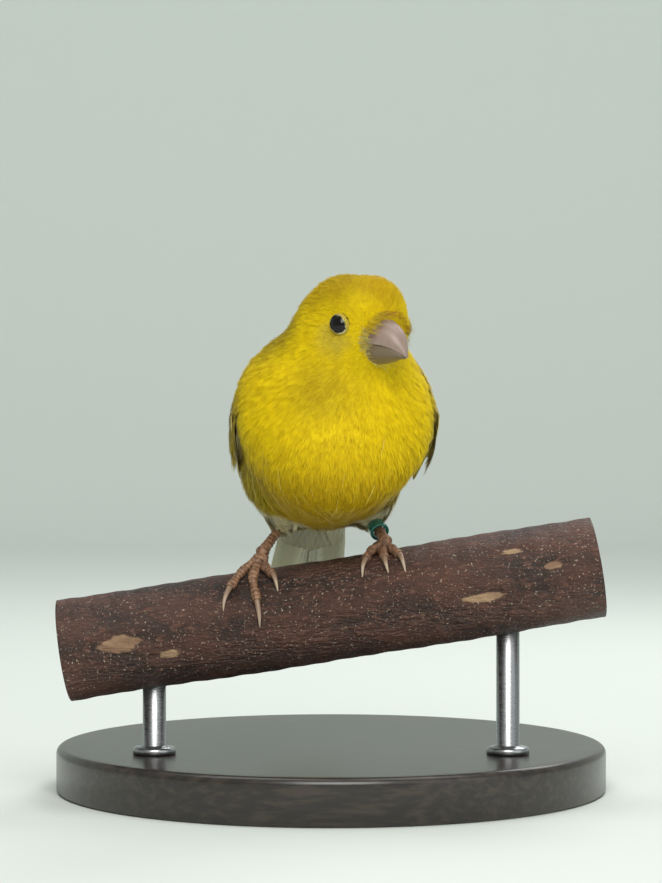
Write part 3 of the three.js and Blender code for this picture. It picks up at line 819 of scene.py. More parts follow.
def coat_tree(patterns, material):
    """Roots, a pattern on each, turned and sized, and made real."""
    tree = bpy.data.node_groups.new("lay feathers", "GeometryNodeTree")
    for side in ("INPUT", "OUTPUT"):
        tree.interface.new_socket("Geometry", in_out=side, socket_type="NodeSocketGeometry")
    for name, kind in TREE_INPUTS.items():
        tree.interface.new_socket(name, in_out="INPUT", socket_type=f"NodeSocket{kind}")
    nodes, links = tree.nodes, tree.links
    given = nodes.new("NodeGroupInput").outputs
    out = nodes.new("NodeGroupOutput")
    uneven = random_value(tree, "FLOAT", 0.82, 1.18, given["Seed"], 2)
    long = math_node(tree, "MULTIPLY", named_value(tree, "length", "FLOAT"), uneven)
    sized = math_node(tree, "MULTIPLY", long, given["Size"])
    choices = nodes.new("GeometryNodeJoinGeometry")
    for pattern in patterns:
        info = nodes.new("GeometryNodeObjectInfo")
        info.inputs["Object"].default_value = pattern
        info.inputs["As Instance"].default_value = True
        links.new(info.outputs["Geometry"], choices.inputs[0])
    lay = nodes.new("GeometryNodeInstanceOnPoints")
    links.new(scattered_roots(tree, given), lay.inputs["Points"])
    links.new(choices.outputs[0], lay.inputs["Instance"])
    lay.inputs["Pick Instance"].default_value = True
    pick = random_value(tree, "INT", 0, len(patterns) - 1, given["Seed"], 4)
    links.new(pick, lay.inputs["Instance Index"])
    links.new(feather_turn(tree, given), lay.inputs["Rotation"])
    links.new(sized, lay.inputs["Scale"])
    real = nodes.new("GeometryNodeRealizeInstances")
    links.new(lay.outputs[0], real.inputs[0])
    dress = nodes.new("GeometryNodeSetMaterial")
    dress.inputs["Material"].default_value = material
    links.new(real.outputs[0], dress.inputs["Geometry"])
    links.new(dress.outputs[0], out.inputs[0])
    return tree


feather_tree = coat_tree(PATTERNS, coat_material)


# %% A ground for the feathers to grow from
def ground_from(piece, lie_points, out_points, lengths, regions):
    """A copy of a surface that carries lie, length and region for the tree."""
    ground = bpy.data.objects.new(piece.name + "_ground", piece.data.copy())
    bpy.context.collection.objects.link(ground)
    store(ground.data, "lie", "FLOAT_VECTOR", "POINT", lie_points, "vector")
    store(ground.data, "out", "FLOAT_VECTOR", "POINT", out_points, "vector")
    store(ground.data, "length", "FLOAT", "POINT", lengths * MM)
    store(ground.data, "region", "INT", "FACE", regions.astype(np.int32))
    return ground


# how wide a feather's patch of the unwrap is
PATCH = 0.003


def set_bake_map(mesh):
    """Each feather takes a patch of the skin's unwrap at the place of its root."""
    root = np.empty(len(mesh.vertices) * 3)
    mesh.attributes["root_uv"].data.foreach_get("vector", root)
    along = np.empty(len(mesh.vertices))
    mesh.attributes["along"].data.foreach_get("value", along)
    corners = corner_points(mesh)
    for name in ("OFBake", "root_uv"):
        if name in mesh.attributes:
            mesh.attributes.remove(mesh.attributes[name])
    uv = root.reshape(-1, 3)[corners, :2]
    uv[:, 0] += PATCH * (corners % 5) / 5
    uv[:, 1] += PATCH * along[corners]
    set_map(mesh, uv)


def lay_feathers(name, ground, **inputs):
    """Runs the tree on a ground and keeps the feathers as a plain mesh."""
    modifier = ground.modifiers.new("feathers", "NODES")
    modifier.node_group = feather_tree
    for item in feather_tree.interface.items_tree:
        if item.in_out == "INPUT" and item.name in inputs:
            modifier[item.identifier] = inputs[item.name]
    evaluated = ground.evaluated_get(bpy.context.evaluated_depsgraph_get())
    mesh = bpy.data.meshes.new_from_object(evaluated)
    ground.modifiers.remove(modifier)
    mesh.name = name
    set_bake_map(mesh)
    coat = bpy.data.objects.new(name, mesh)
    bpy.context.collection.objects.link(coat)
    finish_piece(coat, "plumage")
    print(name, "has", triangles(mesh), "triangles")
    return triangles(mesh)


skin_ground = ground_from(skin, lie, straight_out, length, region)

# %% Lay the body feathers, region by region
# the least distance between feathers in each region, in millimetres
COAT_SPACING = {
    "face": 0.32, "head": 0.4, "throat": 0.46, "breast": 0.46, "belly": 0.5,
    "back": 0.62, "flanks": 0.56, "rump": 0.62, "thighs": 0.42,
}
coat_total = 0
for index, label in enumerate(REGIONS):
    coat_total += lay_feathers(
        f"coat_{label}", skin_ground, Region=index, Spacing=COAT_SPACING[label] * MM,
        Size=1.0, Lift=0.2, Stray=1.0, Seed=30 + index,
    )
print("coat has", coat_total, "triangles")
bpy.data.objects.remove(skin_ground)

# %% [markdown]
# ## Loose feathers and bristles
# Low on the belly the ends of longer feathers stand apart as pale curved strokes, and
# stiff bristles fringe the bill. Both are single blades with a bend, far fewer than the
# coat, so plain arrays make them: a root on the skin, a direction, and a length.

# %% Single hairs
HAIR_STEPS = 6
HAIR_TIP = 0.012


def unwrap_place(points):
    """The places of these points on the skin's own unwrap."""
    way = unit(points - BODY_CENTRE)
    polar = np.arccos(np.clip(-way @ BODY_POLE, -1, 1))
    share = 1 - (1 - polar / math.pi) ** (1 / ROW_CROWDING)
    turn = np.arctan2(way @ BODY_UP, way @ BODY_SIDE) % (2 * math.pi)
    return np.stack((turn / (2 * math.pi) * UNWRAP_WIDE, share), -1)


def hair_piece(name, roots, ways, outs, lengths, half, rise, sag, material, tones, seed):
    """Tapered blades that rise from the coat and bend back to it."""
    rng = np.random.default_rng(seed)
    points, faces, along, tone = [], [], [], []
    for root, way, out, long, own in zip(roots, ways, outs, lengths, tones):
        side = np.cross(way, out)
        bend = rng.normal(0, 0.12)
        start = len(points)
        for j in range(HAIR_STEPS + 1):
            t = j / HAIR_STEPS
            curve = side * bend * t * t + out * (rise * t - sag * t * t)
            middle = root + long * (way * t + curve)
            wide = half * (1 - t**1.5) + HAIR_TIP
            for sign in (-1, 1):
                points.append(middle + side * sign * wide)
                along.append(t)
                tone.append(own)
        for j in range(HAIR_STEPS):
            a = start + 2 * j
            faces.append((a, a + 1, a + 3, a + 2))
    piece = put_piece(name, np.array(points), faces, material)
    store(piece.data, "along", "FLOAT", "POINT", along)
    store(piece.data, "tone", "FLOAT", "POINT", tone)
    hair, place = np.divmod(corner_points(piece.data), 2 * (HAIR_STEPS + 1))
    patch = np.stack((place % 2 * 0.5, place // 2 / HAIR_STEPS), -1)
    set_map(piece.data, unwrap_place(np.array(roots))[hair] + PATCH * patch)
    finish_piece(piece, "plumage")
    print(name, "has", len(roots), "hairs")


def hair_material(name, dark, light):
    """Each hair has its own tone between the two colours."""
    material, tree, shader = new_material(name)
    colour = mix_colours(tree, kept_value(tree, "tone"), dark, light)
    tree.links.new(colour, shader.inputs["Base Color"])
    shader.inputs["Roughness"].default_value = 0.6
    return material


# %% Pale strokes low on the belly
STROKES = 260
rng = np.random.default_rng(91)
turned_in = rng.uniform(-1, 1, STROKES)
stroke_way = unit(np.stack((
    turned_in * 0.75 - 0.05, -0.55 + 0.25 * turned_in**2 + rng.normal(0, 0.2, STROKES),
    -0.62 + rng.normal(0, 0.22, STROKES) + 0.25 * np.abs(turned_in),
), -1))
stroke_roots = come_out(np.array((0, -2, 34.0)), stroke_way, -0.1, SKIN_FORMS)
stroke_lie, stroke_out = lie_at(stroke_roots)
inward = np.stack((-0.55 * stroke_roots[:, 0], 0 * turned_in, -7 + 0 * turned_in), -1)
stroke_lie = unit(stroke_lie + along_surface(inward, stroke_out) * 0.9)
hair_piece(
    "belly_strokes", stroke_roots, stroke_lie, stroke_out, rng.uniform(4, 8, STROKES),
    half=0.07, rise=0.2, sag=0.16,
    material=hair_material("stroke_pale", srgb(196, 156, 12), srgb(238, 216, 100)),
    tones=rng.random(STROKES) ** 1.5, seed=92,
)

# %% Bristles and small feathers round the bill
RUSTY = (srgb(88, 42, 14), srgb(170, 104, 24))
GOLDEN = (srgb(136, 108, 14), srgb(222, 192, 40))
STRAW = (srgb(140, 120, 40), srgb(228, 216, 140))
CREAMY = (srgb(176, 160, 60), srgb(240, 232, 170))
BRISTLE_RINGS = [
    # name, degrees round the bill, hairs, lengths, how far ahead, colours
    ("culmen_bristles", (62, 118), 120, (1.3, 3.0), (-0.2, 1.5), RUSTY),
    ("nostril_feathers", (16, 76), 150, (1.8, 3.6), (-0.6, 1.5), GOLDEN),
    ("nostril_feathers_left", (104, 164), 150, (1.8, 3.6), (-0.6, 1.5), GOLDEN),
    ("lore_bristles", (-30, 24), 130, (1.0, 2.6), (-1.2, 1.1), STRAW),
    ("lore_bristles_left", (156, 210), 130, (1.0, 2.6), (-1.2, 1.1), STRAW),
    ("chin_bristles", (215, 325), 130, (0.9, 1.9), (-0.4, 1.3), CREAMY),
]
BILL_HALF_WIDTH, BILL_HALF_HEIGHT = 5.0, 4.6
for order, (name, (first, last), count, lengths, ahead, tones) in enumerate(BRISTLE_RINGS):
    rng = np.random.default_rng(110 + order)
    round_bill = np.radians(rng.uniform(first, last, count))
    # the bird's right side is at 0 degrees, its crown at 90
    sideways = -np.cos(round_bill)[:, None] * head_left * BILL_HALF_WIDTH
    aim = sideways + np.sin(round_bill)[:, None] * head_up * BILL_HALF_HEIGHT
    start = place_in(HEAD, np.full(count, 4.0), 0, -0.9)
    way = unit(head_ahead * (6.3 + rng.uniform(*ahead, count))[:, None] + aim)
    roots = come_out(start, way, -0.25)
    _, outs = lie_at(roots)
    forward = head_ahead + unit(aim) * 0.12 + rng.normal(0, 0.16, (count, 3))
    forward = unit(forward - outs * np.sum(forward * outs, -1, keepdims=True) * 0.3)
    hair_piece(
        name, roots, forward, outs, rng.uniform(*lengths, count),
        half=0.045, rise=0.06, sag=0.16,
        material=hair_material(name + "_tone", *tones), tones=rng.random(count), seed=130 + order,
    )

# %% [markdown]
# ## Blades and bars
# Flight feathers are stiff blades and legs are round bars that bend. Two helpers make
# them: one gives a curved sheet its thickness, the other runs rings along a path. A
# curve with a bevel could do the bars, but here each ring can have its own radius.

# %% Blade and bar helpers
ACROSS = np.linspace(-1, 1, 9)
BLADE_STATIONS = np.concatenate((np.linspace(0, 0.7, 8), [0.8, 0.88, 0.94, 0.98, 1]))
BLADE_THICK = 0.16
SAMPLES_A_SPAN = 12


class Collector:
    """Gathers closed bodies with their attributes into one piece."""

    def __init__(self):
        self.points, self.faces, self.extras = [], [], []
        self.count = 0

    def add(self, rings, across=0.0, along=0.5, shade=0.5):
        rings = np.asarray(rings, float)
        shape = rings.shape[:2]
        self.points.append(rings.reshape(-1, 3))
        self.faces += closed_rings(rings, self.count)
        self.count += shape[0] * shape[1]
        extras = [np.broadcast_to(value, shape).ravel() for value in (across, along, shade)]
        self.extras.append(np.stack(extras, -1))

    def piece(self, name, material):
        made = put_piece(name, np.concatenate(self.points), self.faces, material)
        extras = np.concatenate(self.extras)
        for column, label in enumerate(("across", "along", "shade")):
            store(made.data, label, "FLOAT", "POINT", extras[:, column])
        return face_outward(made)


def add_blade(collector, sheet, shade, plain=False):
    """A thin closed blade round a sheet of points; a plain one shows little pattern."""
    way_along = np.gradient(sheet, axis=0)
    way_across = np.gradient(sheet, axis=1)
    out = unit(np.cross(way_along, way_across)) * BLADE_THICK / 2
    rings = np.concatenate((sheet + out, (sheet - out)[:, ::-1]), 1)
    across = np.concatenate((ACROSS, ACROSS[::-1])) * (0.25 if plain else 1)
    along = BLADE_STATIONS * (0.6 if plain else 1)
    collector.add(rings, across[None, :], along[:, None], shade)


def blade_width(rounding=0.3, root=0.45):
    """Share of full width at each station: a narrow root and a rounded tip."""
    t = BLADE_STATIONS
    into_tip = np.clip((t - 1 + rounding) / rounding, 0, 1)
    tip = np.sqrt(np.clip(1 - into_tip**2, 0.003, 1))
    return (root + (1 - root) * np.clip(t / 0.35, 0, 1) ** 0.7) * tip


def path_through(points, steps):
    """A smooth path through points, evenly stepped along its length."""
    points = np.asarray(points, float)
    ends = np.vstack((2 * points[0] - points[1], points, 2 * points[-1] - points[-2]))
    fine = []
    for j in range(len(points) - 1):
        a, b, c, d = ends[j : j + 4]
        for t in np.linspace(0, 1, SAMPLES_A_SPAN, endpoint=False):
            square = (2 * a - 5 * b + 4 * c - d) * t**2
            cube = (3 * b - a - 3 * c + d) * t**3
            fine.append(0.5 * (2 * b + (c - a) * t + square + cube))
    fine = np.vstack((fine, points[-1]))
    run = np.concatenate(([0], np.cumsum(np.linalg.norm(np.diff(fine, axis=0), axis=1))))
    at = np.linspace(0, run[-1], steps + 1)
    return np.stack([np.interp(at, run, fine[:, axis]) for axis in range(3)], -1)


def bar_rings(path, radius_at, sides=16):
    """Rings round a path; radius_at takes the share along and the angle round."""
    way = unit(np.gradient(path, axis=0))
    reference = np.array((0, 0, 1.0)) if abs(way[0][2]) < 0.8 else np.array((0, 1.0, 0))
    rings = []
    for j, (middle, ahead) in enumerate(zip(path, way)):
        side = unit(np.cross(ahead, reference))
        reference = np.cross(side, ahead)
        turn = full_turn(sides)
        reach = radius_at(j / (len(path) - 1), turn)
        ring = np.cos(turn)[:, None] * side + np.sin(turn)[:, None] * reference
        rings.append(middle + ring * np.broadcast_to(reach, (sides,))[:, None])
    return np.array(rings)


# %% [markdown]
# ## Wings, feather by feather
# A folded wing is rows of vanes, laid like roof tiles: long flight feathers below and
# shorter coverts over their roots. Each one here is a thin curved blade on the same
# rounded forms as the body, so the rows hug the back as they do on the bird.

# %% Material of the flight feathers
BARB_LINES, BARB_SLANT = 62.0, 7.0
BARB_DUSK, SHAFT_HORN = srgb(92, 86, 62), srgb(196, 178, 140)


def vane_material(name, centre, edge, tint):
    """Dull centre, pale yellow edge, a shaft and fine barbs to both sides of it."""
    material, tree, shader = new_material(name)
    off_shaft = math_node(tree, "ABSOLUTE", kept_value(tree, "across"))
    along = kept_value(tree, "along")
    wander = noise(tree, object_place(tree), 900, 3)
    uneven = math_node(tree, "MULTIPLY_ADD", wander, 0.5, off_shaft)
    colour = tinted(tree, centre, edge, uneven, 0.6, 1.15)
    colour = tinted(tree, colour, edge, along, 0.78, 1.02, 0, 0.55)
    run = math_node(tree, "MULTIPLY", along, BARB_LINES)
    slant = math_node(tree, "MULTIPLY_ADD", off_shaft, -BARB_SLANT, run)
    turns = math_node(tree, "MULTIPLY", slant, 6.28)
    wave = math_node(tree, "SINE", turns)
    colour = tinted(tree, colour, BARB_DUSK, wave, -1, 1, 0, 0.22)
    colour = tinted(tree, colour, SHAFT_HORN, off_shaft, 0.04, 0.1, 0.75, 0)
    shade = kept_value(tree, "shade")
    colour = tinted(tree, colour, tint, shade, 0, 1, 0, 0.4)
    tree.links.new(colour, shader.inputs["Base Color"])
    shader.inputs["Roughness"].default_value = 0.5
    tree.links.new(bump(tree, wave, 0.25, 0.0001), shader.inputs["Normal"])
    return material


wing_material = vane_material(
    "wing_vanes", srgb(140, 132, 92), srgb(224, 212, 140), srgb(186, 174, 84)
)
tail_material = vane_material(
    "tail_vanes", srgb(196, 192, 160), srgb(236, 234, 206), srgb(222, 214, 150)
)

# %% Where the folded wing lies
# along the trunk, and the low and the high edge in degrees round it
WING_EDGES = np.array([
    (-54, 14, 84), (-35, 0, 84), (-20, -18, 78), (-8, -30, 58), (4, -26, 38), (12, -12, 24),
], float)
WING_AXIS_UP = 4


def wing_place(side, along, share, height):
    """A place on the folded wing, from its low edge at 0 to its high edge at 1."""
    low = np.interp(along, WING_EDGES[:, 0], WING_EDGES[:, 1])
    high = np.interp(along, WING_EDGES[:, 0], WING_EDGES[:, 2])
    turn = np.radians(low + (high - low) * share)
    _, left, up = axes_of(TRUNK[1], TRUNK[2])
    way = np.cos(turn)[..., None] * left * side + np.sin(turn)[..., None] * up
    start = place_in(TRUNK, along, 0, WING_AXIS_UP)
    return come_out(start, way, height, WING_FORMS)


# rows: feathers, widths, lift of the lower edge, base height, roots and tips
WING_ROWS = {
    "primaries": (9, (4.6, 4.8), 1.05, 0, ((6, 0.06), (2, 0.3)), ((-53, 0.42), (-38, 0.7))),
    "secondaries": (7, (5.2, 5.6), 0.95, 0.1, ((3, 0.34), (-2, 0.62)), ((-36, 0.66), (-31, 0.78))),
    "tertials": (3, (6.2, 6.2), 1.0, 0.2, ((0, 0.64), (-4, 0.84)), ((-30, 0.78), (-19, 0.84))),
    "greater": (10, (4.8, 5.2), 0.75, 0.65, ((7, 0.12), (0, 0.86)), ((-10, 0.06), (-14, 0.8))),
    "median": (9, (4.4, 4.8), 0.65, 1.05, ((9, 0.16), (4, 0.86)), ((-1, 0.1), (-5, 0.82))),
}
# the wing on the bird's left stands off a little more
WING_PUFF = {-1: 0.0, 1: 0.55}
VANE_BASE, VANE_RISE, VANE_ROOF = -0.3, 0.5, 0.22
CORE_STEPS = 15


def wing_feather(collector, side, row, order, rng):
    """One vane of a row, laid between its root and its tip on the folded wing."""
    count, width, lift, base, root, tip = row
    mix = order / (count - 1)
    root = np.array(root[0]) * (1 - mix) + np.array(root[1]) * mix
    tip = np.array(tip[0]) * (1 - mix) + np.array(tip[1]) * mix
    t, u = np.meshgrid(BLADE_STATIONS, ACROSS, indexing="ij")
    along = root[0] + (tip[0] - root[0]) * t - 1.6 * (t > 0.75) * u**2 * (t - 0.75)
    share = root[1] + (tip[1] - root[1]) * t
    step = wing_place(side, along, share + 0.05, 0) - wing_place(side, along, share, 0)
    half = (width[0] + (width[1] - width[0]) * mix) / 2 * blade_width()[:, None]
    share = share + u * half / np.linalg.norm(step, axis=-1) * 0.05
    share = np.clip(share, -0.04, 1.0 - 0.004 * (1 - u))
    height = base + WING_PUFF[side] + VANE_BASE + VANE_RISE * t
    height = height + lift * (0.65 - 0.35 * u) + VANE_ROOF * (1 - u**2)
    add_blade(collector, wing_place(side, along, share, height), rng.random())


def build_wing(side):
    """A core that closes the gaps under the vanes, and then the vanes, row by row."""
    rng = np.random.default_rng(61 + side)
    collector = Collector()
    share = np.linspace(0.03, 0.97, CORE_STEPS)
    stations = np.linspace(12, -30, 22)
    a, s = np.meshgrid(stations, np.concatenate((share, share[::-1])), indexing="ij")
    depth = np.repeat((0.6, -2.0), CORE_STEPS)
    collector.add(wing_place(side, a, s, depth), 0, 0.5, 0.5)
    for row in WING_ROWS.values():
        for order in range(row[0]):
            wing_feather(collector, side, row, order, rng)
    return collector


for side, name in ((-1, "right"), (1, "left")):
    wing = build_wing(side).piece(f"wing_{name}_feathers", wing_material)
    finish_piece(wing, "flight_feathers", f"wing_{name}")
    print(wing.name, "has", sum(row[0] for row in WING_ROWS.values()), "vanes")

# %% Small feathers over the wing's shoulder
SHOULDER = len(REGIONS)
SHOULDER_ROWS, SHOULDER_COLUMNS = 30, 50
SHEET_MAP = 0.98


def shoulder_ground(side, name):
    """The front of the folded wing, where feathers are small and soft as on the body."""
    rows, columns = SHOULDER_ROWS, SHOULDER_COLUMNS
    a, s = np.meshgrid(
        np.linspace(15, 2, rows), np.linspace(-0.06, 1.08, columns), indexing="ij"
    )
    rise = (1.5 + WING_PUFF[side]) * np.clip((12.5 - a) / 8, 0, 1)
    sheet = wing_place(side, a, s, 0.3 + rise)
    faces = grid_faces(rows, columns, around=False)
    piece = put_piece(f"shoulder_{name}", sheet.reshape(-1, 3), faces, coat_material)
    corners = corner_points(piece.data)
    u, v = corners % columns / columns, corners // columns / rows
    set_map(piece.data, np.stack((u, v), -1) * SHEET_MAP)
    points = sheet.reshape(-1, 3)
    out = outward(points, WING_FORMS)
    back = -axes_of(TRUNK[1], TRUNK[2])[0] + np.array((0, 0, -0.2))
    lengths = np.interp(a.ravel(), [1, 15], [4.4, 3.2])
    regions = np.full(len(faces), SHOULDER)
    return piece, ground_from(piece, along_surface(back, out), out, lengths, regions)


for side, name in ((-1, "right"), (1, "left")):
    sheet, ground = shoulder_ground(side, name)
    lay_feathers(
        f"coat_shoulder_{name}", ground, Region=SHOULDER, Spacing=0.5 * MM,
        Size=1.0, Lift=0.12, Stray=1.2, Seed=50 + side,
    )
    for used in (sheet, ground):
        bpy.data.objects.remove(used)
for pattern in PATTERNS:
    bpy.data.objects.remove(pattern)

# %% [markdown]
# ## The tail
# Twelve tail feathers lie closed, the outer ones under the middle pair, with a shallow
# fork. Seen from the front only the undersides show between the legs, so they are pale.

# %% The tail feathers
TAIL_ROOT, TAIL_TIP, TAIL_FORK, TAIL_UP, TAIL_STEP = -30, -83, 3, 1.4, 0.33
TAIL_PAIRS, TAIL_VANE = 6, 3.3
# tail coverts over and under: feathers, height, spread of the tips, tips, half width
TAIL_COVERTS = [(7, 2.9, 4, -50, 2.5), (9, -0.3, 5.6, -56, 2.6)]


def tail_feather(collector, side, along, across, up, half, roof, shade, rounding=0.16):
    """One vane from root to tip; along, across and up give its two ends."""
    t, u = np.meshgrid(BLADE_STATIONS, ACROSS, indexing="ij")
    reach = u * half * blade_width(rounding, 0.5)[:, None]
    sideways = (across[0] + (across[1] - across[0]) * t) * side + reach
    height = up[0] + (up[1] - up[0]) * t - roof * side * reach + 0.14 * (1 - u**2)
    lengthwise = along[0] + (along[1] - along[0]) * t
    sheet = place_in(TRUNK, lengthwise, sideways, height)
    add_blade(collector, sheet, shade, plain=rounding > 0.5)


tail_collector = Collector()
tail_rng = np.random.default_rng(71)
for pair in range(TAIL_PAIRS):
    out = (pair + 0.5) / TAIL_PAIRS
    for side in (-1, 1):
        up = TAIL_UP + (TAIL_PAIRS / 2 - pair) * TAIL_STEP + (TAIL_STEP / 2 if side < 0 else 0)
        tail_feather(
            tail_collector, side, (TAIL_ROOT, TAIL_TIP - TAIL_FORK * out),
            (out * 3.8, out * (10.4 - TAIL_VANE)), (up, up), TAIL_VANE, 0.06, tail_rng.random(),
        )
for count, up, spread, tip, half in TAIL_COVERTS:
    for i in range(count):
        across = (i / (count - 1) - 0.5) * 2
        tail_feather(
            tail_collector, 1, (TAIL_ROOT + 2, tip + 3 * abs(across)),
            (across * 2.4, across * spread),
            (up * 0.6, up - 0.25 * np.sign(up) * abs(across)), half,
            0.12 * across * np.sign(up), tail_rng.random(), 0.8,
        )
tail = tail_collector.piece("tail_feathers", tail_material)
finish_piece(tail, "flight_feathers", "tail")
print("tail has", TAIL_PAIRS * 2, "long feathers and", sum(c[0] for c in TAIL_COVERTS), "coverts")

# %% [markdown]
# ## Eyes and lids
# A canary's eye is nearly all pupil: a wet black ball sunk in the head, with a thin bare
# rim of pale skin. The rim is a ring that follows the ball, open in an oval that
# leans forward, as in the photograph.

# %% Eye and lid materials
eye_material, _, eye_shader = new_material("eye_wet")
eye_shader.inputs["Base Color"].default_value = srgb(14, 11, 10)
eye_shader.inputs["Roughness"].default_value = 0.12
eye_shader.inputs["Specular IOR Level"].default_value = 0.35
lid_material, lid_tree, lid_shader = new_material("lid_skin")
lid_spots = noise(lid_tree, object_place(lid_tree), 1100, 2)
lid_colour = tinted(
    lid_tree, srgb(70, 64, 36), srgb(196, 190, 146), lid_spots, 0.42, 0.62
)
lid_out = kept_value(lid_tree, "across")
lid_colour = tinted(
    lid_tree, lid_colour, srgb(170, 148, 30), lid_out, 0.12, 0.4
)
lid_tree.links.new(lid_colour, lid_shader.inputs["Base Color"])
lid_shader.inputs["Roughness"].default_value = 0.55

# %% Eyes set in the head
EYE_RADIUS = 2.6
EYE_SHIFT = 0.75
EYE_DEPTH = -1.75
LID_LONG, LID_SHORT, LID_LEAN = 2.0, 1.55, 40
LID_WIDE, LID_HIGH = 0.36, 0.14
EYE_SIDES, LID_STEPS = 36, 12


def eye_frame(side):
    """Middle of the ball, straight out of the head, and the lid opening's long axis."""
    middle = EYES["right" if side < 0 else "left"]
    out = outward(middle + unit(middle - np.array(HEAD[0])) * 2)
    up = unit(np.array((0, 0, 1.0)) - out * out[2])
    forward = np.cross(up, out) * (1 if side > 0 else -1)
    forward = forward if np.dot(forward, head_ahead) > 0 else -forward
    middle = middle + forward * EYE_SHIFT
    middle = come_out(middle - out * 6, out, EYE_DEPTH)
    lean = math.radians(LID_LEAN)
    long_way = up * math.cos(lean) - forward * math.sin(lean)
    return middle, out, long_way, np.cross(out, long_way)


def build_eye(side, name):
    """The ball, and the rim of skin that runs round its opening."""
    middle, out, long_way, short_way = eye_frame(side)
    polar = np.linspace(0.02, math.pi - 0.02, 24)
    turn = full_turn(EYE_SIDES)
    p, t = np.meshgrid(polar, turn, indexing="ij")
    round_out = np.cos(t)[..., None] * long_way + np.sin(t)[..., None] * short_way
    ball = middle + EYE_RADIUS * (np.cos(p)[..., None] * out + np.sin(p)[..., None] * round_out)
    ball_collector = Collector()
    ball_collector.add(ball)
    finish_piece(ball_collector.piece(f"eyeball_{name}", eye_material), "eye", f"eye_{name}")
    rim = Collector()
    rings, shares = [], []
    for step in full_turn(LID_STEPS):
        wide = LID_WIDE * (1 + math.cos(step))
        shares.append(np.full(EYE_SIDES, (1 + math.cos(step)) / 2))
        lift = LID_HIGH * math.sin(step) + 0.02 - LID_HIGH * math.cos(step)
        a, b = LID_LONG + wide, LID_SHORT + wide
        flat = np.cos(turn)[:, None] * long_way * a + np.sin(turn)[:, None] * short_way * b
        radius = np.linalg.norm(flat, axis=1)
        high = np.sqrt(np.clip(EYE_RADIUS**2 - radius**2, 0.3, None)) + lift
        rings.append(middle + flat + out * high[:, None])
    rim.points.append(np.concatenate(rings))
    rim.faces += tube_faces(LID_STEPS, EYE_SIDES)
    rim.extras.append(np.repeat(np.concatenate(shares)[:, None], 3, 1))
    finish_piece(rim.piece(f"lid_{name}", lid_material), "leg_skin")


for side, name in ((-1, "right"), (1, "left")):
    build_eye(side, name)
print("lid opening", 2 * LID_LONG, "by", 2 * LID_SHORT, "mm")

# %% [markdown]
# ## The bill
# A seed-eater's bill is a short stout cone. The upper half closes over the lower along a
# mouth line that dips toward the corner. Rings from the face to the tip give both
# halves, with many points round so that the ridge is smooth.

# %% Bill material
bill_material, bill_tree, bill_shader = new_material("bill_horn")
bill_place = object_place(bill_tree)
clouds = noise(bill_tree, bill_place, 300, 4)
horn = tinted(
    bill_tree, srgb(152, 130, 122), srgb(134, 114, 100), clouds, 0.35, 0.7
)
# the pale band along the mouth line of both halves, where across nears 1, is a painted highlight
for label, over, low, high, most in (
    ("across", srgb(188, 166, 152), 0.72, 0.98, 0.6), ("shade", srgb(108, 93, 68), 0.4, 0.9, 0.85),
):
    value = kept_value(bill_tree, label)
    horn = tinted(bill_tree, horn, over, value, low, high, 0, most)
bill_tree.links.new(horn, bill_shader.inputs["Base Color"])
bill_shader.inputs["Roughness"].default_value = 0.38
bill_tree.links.new(
    bump(bill_tree, noise(bill_tree, bill_place, 2200, 2), 0.2, 0.0001),
    bill_shader.inputs["Normal"],
)

# %% Both halves of the bill
# along the head's axis: ridge, mouth line, underside and half width
BILL_STATIONS = np.array([
    (7.5, 4.2, -2.2, -6.6, 4.6), (11, 3.8, -2.0, -6.1, 4.2), (13, 3.2, -1.8, -5.6, 3.8),
    (14.8, 2.4, -1.8, -5, 3.1), (16.5, 1.1, -2.2, -4.4, 2.2), (18.1, -1, -2.9, -3.9, 1.1),
    (19.3, -3.1, -3.5, -3.8, 0.25),
])
NOSTRIL_ALONG, NOSTRIL_UP = 12.6, 1.6
NOSTRIL_LONG, NOSTRIL_HIGH, NOSTRIL_DEEP = 0.75, 0.42, 0.5
MOUTH_GAP = 0.12


def bill_profile(ahead):
    """The four measures of the bill at each place ahead, smoothed between stations."""
    columns = []
    for column in range(1, 5):
        path = path_through(BILL_STATIONS[:, [0, column, column]], 60)
        columns.append(np.interp(ahead, path[:, 0], path[:, 1]))
    return columns


def build_bill_half(upper):
    """Arched rings from the face to the tip, flat along the mouth line."""
    end = 19.3 if upper else 18.4
    ahead = np.concatenate((np.linspace(7.5, 17, 22), np.linspace(17.3, end, 9)))
    culmen, mouth, under, half = bill_profile(ahead)
    turn = np.linspace(0, math.pi, 29)
    rings, edges = [], []
    for a, c, m, b, h in zip(ahead, culmen, mouth, under, half):
        edge = m + MOUTH_GAP / 2 if upper else m - MOUTH_GAP / 2
        ridge = max(c, edge + 0.25) if upper else min(b, edge - 0.18)
        across = np.cos(turn) * (h if upper else h * 0.93)
        height = edge + (ridge - edge) * np.sin(turn) ** (0.8 if upper else 0.85)
        if upper:
            for side in (-1, 1):
                away = np.hypot(
                    (a - NOSTRIL_ALONG) / NOSTRIL_LONG, (height - NOSTRIL_UP) / NOSTRIL_HIGH
                )
                dent = NOSTRIL_DEEP * np.exp(-(away**2) * 1.4) * (across * side > 0)
                across = across - side * dent
        rings.append(place_in(HEAD, a, across, height))
        edges.append(1 - np.sin(turn) ** 0.5)
    half_bill = Collector()
    half_bill.add(np.array(rings), np.array(edges), 0.5, 0.0 if upper else 1.0)
    return half_bill


for upper, label in ((True, "upper"), (False, "lower")):
    half_bill = build_bill_half(upper).piece(f"bill_{label}_horn", bill_material)
    finish_piece(half_bill, "bill", f"bill_{label}")
print("bill reaches", round(BILL_STATIONS[-1][0] - 10, 1), "mm out of the face")

# %% [markdown]
# ## Legs, toes and claws
# The bare leg is covered with scutes, horny plates that overlap like roof tiles down the
# front. Each ring of the bar swells and steps in again, which gives the plates real
# edges. Toes swell at their joints and grip the branch; claws are curved cones.

